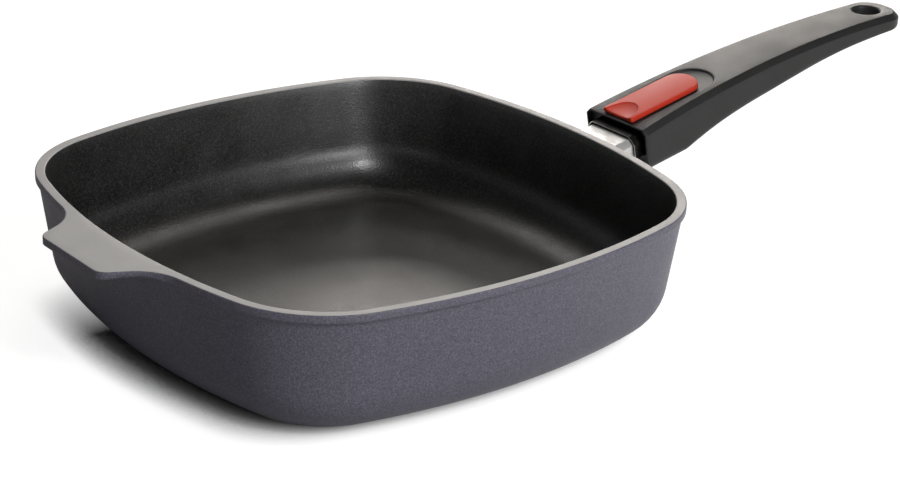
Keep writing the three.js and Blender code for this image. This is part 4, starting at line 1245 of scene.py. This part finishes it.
def pale_floor():
    """White for the camera and in reflections, with the object's soft shadow from the lamps and a painted
    shadow round its foot, and unseen from below.
    """
    material, tree = start_material("pale_floor")
    tree.nodes.clear()
    place = object_place(tree)
    camera_ray = seen_by(tree, "Is Camera Ray")
    mirrored = spread(tree, axis(tree, place, "X"), *FLOOR_FADE, 0, FLOOR_MIRRORED)
    glow = blend(tree, seen_by(tree, *MIRROR_RAYS), 0, mirrored)
    # Painted shadow: the seen white is darkened where the floor sees little open sky, leaning to the lip's
    # side and dying away along y
    lean = node(tree, "CombineXYZ", "Vector", CONTACT_LEAN)
    painted_contact_shadow = node(tree, "AmbientOcclusion", "AO", {"Distance": CONTACT_REACH, "Normal": lean})
    open_white = spread(tree, painted_contact_shadow, *CONTACT_OPEN, 0, FLOOR_WHITE)
    fade = spread(tree, axis(tree, place, "Y"), *CONTACT_FADE, 0, 1)
    seen_white = blend(tree, fade, open_white, FLOOR_WHITE)
    strength = blend(tree, camera_ray, glow, seen_white)
    white = node(tree, "Emission", "Emission", {"Color": (1, 1, 1, 1), "Strength": strength})
    tone = blend(tree, camera_ray, FLOOR_TONE, FLOOR_SEEN)
    matt = node(tree, "BsdfDiffuse", "BSDF", {"Color": tone})
    lit = node(tree, "AddShader", "Shader", {0: matt, 1: white})
    below = node(tree, "NewGeometry", "Backfacing")
    clear = node(tree, "BsdfTransparent", "BSDF")
    output = tree.nodes.new("ShaderNodeOutputMaterial")
    side = node(tree, "MixShader", "Shader", {0: below, 1: lit, 2: clear})
    feed(tree, output.inputs["Surface"], side)
    return material


def floor():
    bm = bmesh.new()
    bmesh.ops.create_circle(bm, cap_ends=True, radius=6, segments=64)
    make_piece("floor", bm, [pale_floor()])


def world_light():
    """A white room with a dark ceiling: dim as light, white to the camera, and mirrored white low down."""
    world = bpy.data.worlds.new("room")
    world.use_nodes = True
    tree = world.node_tree
    height = axis(tree, node(tree, "TexCoord", "Generated"), "Z")
    mirrored = spread(tree, height, *ROOM_RISE, 1, ROOM_HIGH)
    light = blend(tree, seen_by(tree, *MIRROR_RAYS), ROOM_FILL, mirrored)
    background = tree.nodes["Background"]
    feed(tree, background.inputs["Strength"], blend(tree, seen_by(tree, "Is Camera Ray"), light, 1))
    feed(tree, background.inputs["Color"], (1, 1, 1, 1))
    bpy.context.scene.world = world


def hang_lamp(data, target, azimuth, elevation, distance):
    """Hangs a lamp that looks at a target from a direction given in degrees, the azimuth from +X."""
    turn, rise = math.radians(azimuth), math.radians(elevation)
    way = Vector((math.cos(rise) * math.cos(turn), math.cos(rise) * math.sin(turn), math.sin(rise)))
    lamp = bpy.data.objects.new(data.name, data)
    lamp.location = target + way * distance
    lamp.rotation_mode = "QUATERNION"
    lamp.rotation_quaternion = (-way).to_track_quat("-Z", "Y")
    bpy.context.scene.collection.objects.link(lamp)


def soft_light(name, azimuth, elevation, size, watts, colour=(1, 1, 1)):
    """A wide lamp that lights the whole pan."""
    data = bpy.data.lights.new(name, "AREA")
    data.shape = "RECTANGLE"
    data.size, data.size_y = size
    data.energy = watts
    data.color = colour
    hang_lamp(data, LAMP_TARGET, azimuth, elevation, LAMP_DISTANCE)


def handle_light(azimuth, elevation, distance, radius, cone, watts, colour):
    """A soft spot on the front of the handle, whose cone in degrees leaves out the pan's floor."""
    data = bpy.data.lights.new("handle_light", "SPOT")
    data.shadow_soft_size = radius
    data.spot_size = math.radians(cone)
    data.spot_blend = 1.0
    data.energy = watts
    data.color = colour
    hang_lamp(data, HANDLE_TARGET, azimuth, elevation, distance)


def camera():
    data = bpy.data.cameras.new("camera")
    data.lens = CAMERA_LENS
    data.sensor_width = 36
    data.clip_start, data.clip_end = 0.05, 50
    made = bpy.data.objects.new("camera", data)
    level, drop = math.cos(CAMERA_DROP), math.sin(CAMERA_DROP)
    forward = Vector((level * math.cos(CAMERA_AZIMUTH), level * math.sin(CAMERA_AZIMUTH), -drop))
    turn = forward.to_track_quat("-Z", "Y").to_matrix().to_4x4() @ Matrix.Rotation(CAMERA_ROLL, 4, "Z")
    made.matrix_world = Matrix.Translation(CAMERA_PLACE) @ turn
    bpy.context.scene.collection.objects.link(made)
    bpy.context.scene.camera = made


# The scene

bpy.context.scene.view_settings.view_transform = "Standard"
camera()
world_light()
floor()
# Lamps: azimuth, elevation, size, watts and colour
soft_light("front_light", 270, 14, (0.7, 0.5), 13)
soft_light("front_high_light", 268, 43, (0.28, 0.28), 13)
soft_light("back_light", 44, 20, (0.8, 0.5), 12, (1, 0.94, 0.88))
soft_light("back_high_light", 45, 61, (1.0, 0.4), 7.5, (1, 0.95, 0.9))
soft_light("side_light", 78, 40, (0.6, 0.5), 3.5, (1, 0.97, 0.94))
handle_light(57, 39, distance=0.8, radius=0.1, cone=18, watts=3, colour=(1, 0.97, 0.94))

coating, nonstick = slate_coating(), nonstick_coating()
steel = brushed("bright_steel", (0.62, 0.615, 0.605), (0.68, 0.675, 0.665), 0.36, (40, 6000, 6000), 0.8)
dark_steel = brushed("dark_steel", (0.02, 0.02, 0.02), (0.035, 0.035, 0.035), 0.35, (40, 4000, 4000))
spring_steel = brushed("spring_steel", (0.38, 0.38, 0.37), (0.48, 0.48, 0.47), 0.3, (60, 3000, 3000))
grip_plastic = moulded("handle_plastic", (0.012, 0.012, 0.012), (0.02, 0.02, 0.02), 0.3, 0.00009)
red_plastic = moulded("red_plastic", (0.5, 0.03, 0.012), (0.56, 0.038, 0.016), 0.2, 0.00002)
carriage_plastic = moulded("carriage_plastic", (0.01, 0.01, 0.011), (0.016, 0.016, 0.017), 0.5, 0.00004)

PIECES = [
    (pan_shell(coating, nonstick, bare_rim(), turned_base()), "pan", "coated_casting"),
    (pan_boss(coating), "pan", "coated_casting"),
    (bracket(steel), "pan", "bright_steel"),
    (bracket_screw(1, steel), "pan", "bright_steel"),
    (bracket_screw(-1, steel), "pan", "bright_steel"),
    (grip(grip_plastic), "handle", "handle_plastic"),
    (sleeve(dark_steel, steel), "handle", "bright_steel"),
    (sleeve_screw(steel), "handle", "bright_steel"),
    (slider(red_plastic), "slider", "red_plastic"),
]
for piece, body, slot in PIECES:
    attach(piece, body)

INNER_FINISHES = {
    "sleeve_nut": steel,
    "catch_spring": spring_steel,
    "catch_rivet_front": spring_steel,
    "catch_rivet_rear": spring_steel,
    "slider_carriage": carriage_plastic,
    "return_spring": spring_steel,
    "spring_guide_pin": steel,
}
for name, finish in INNER_FINISHES.items():
    frame["nodes"][name].material_slots[0].material = finish
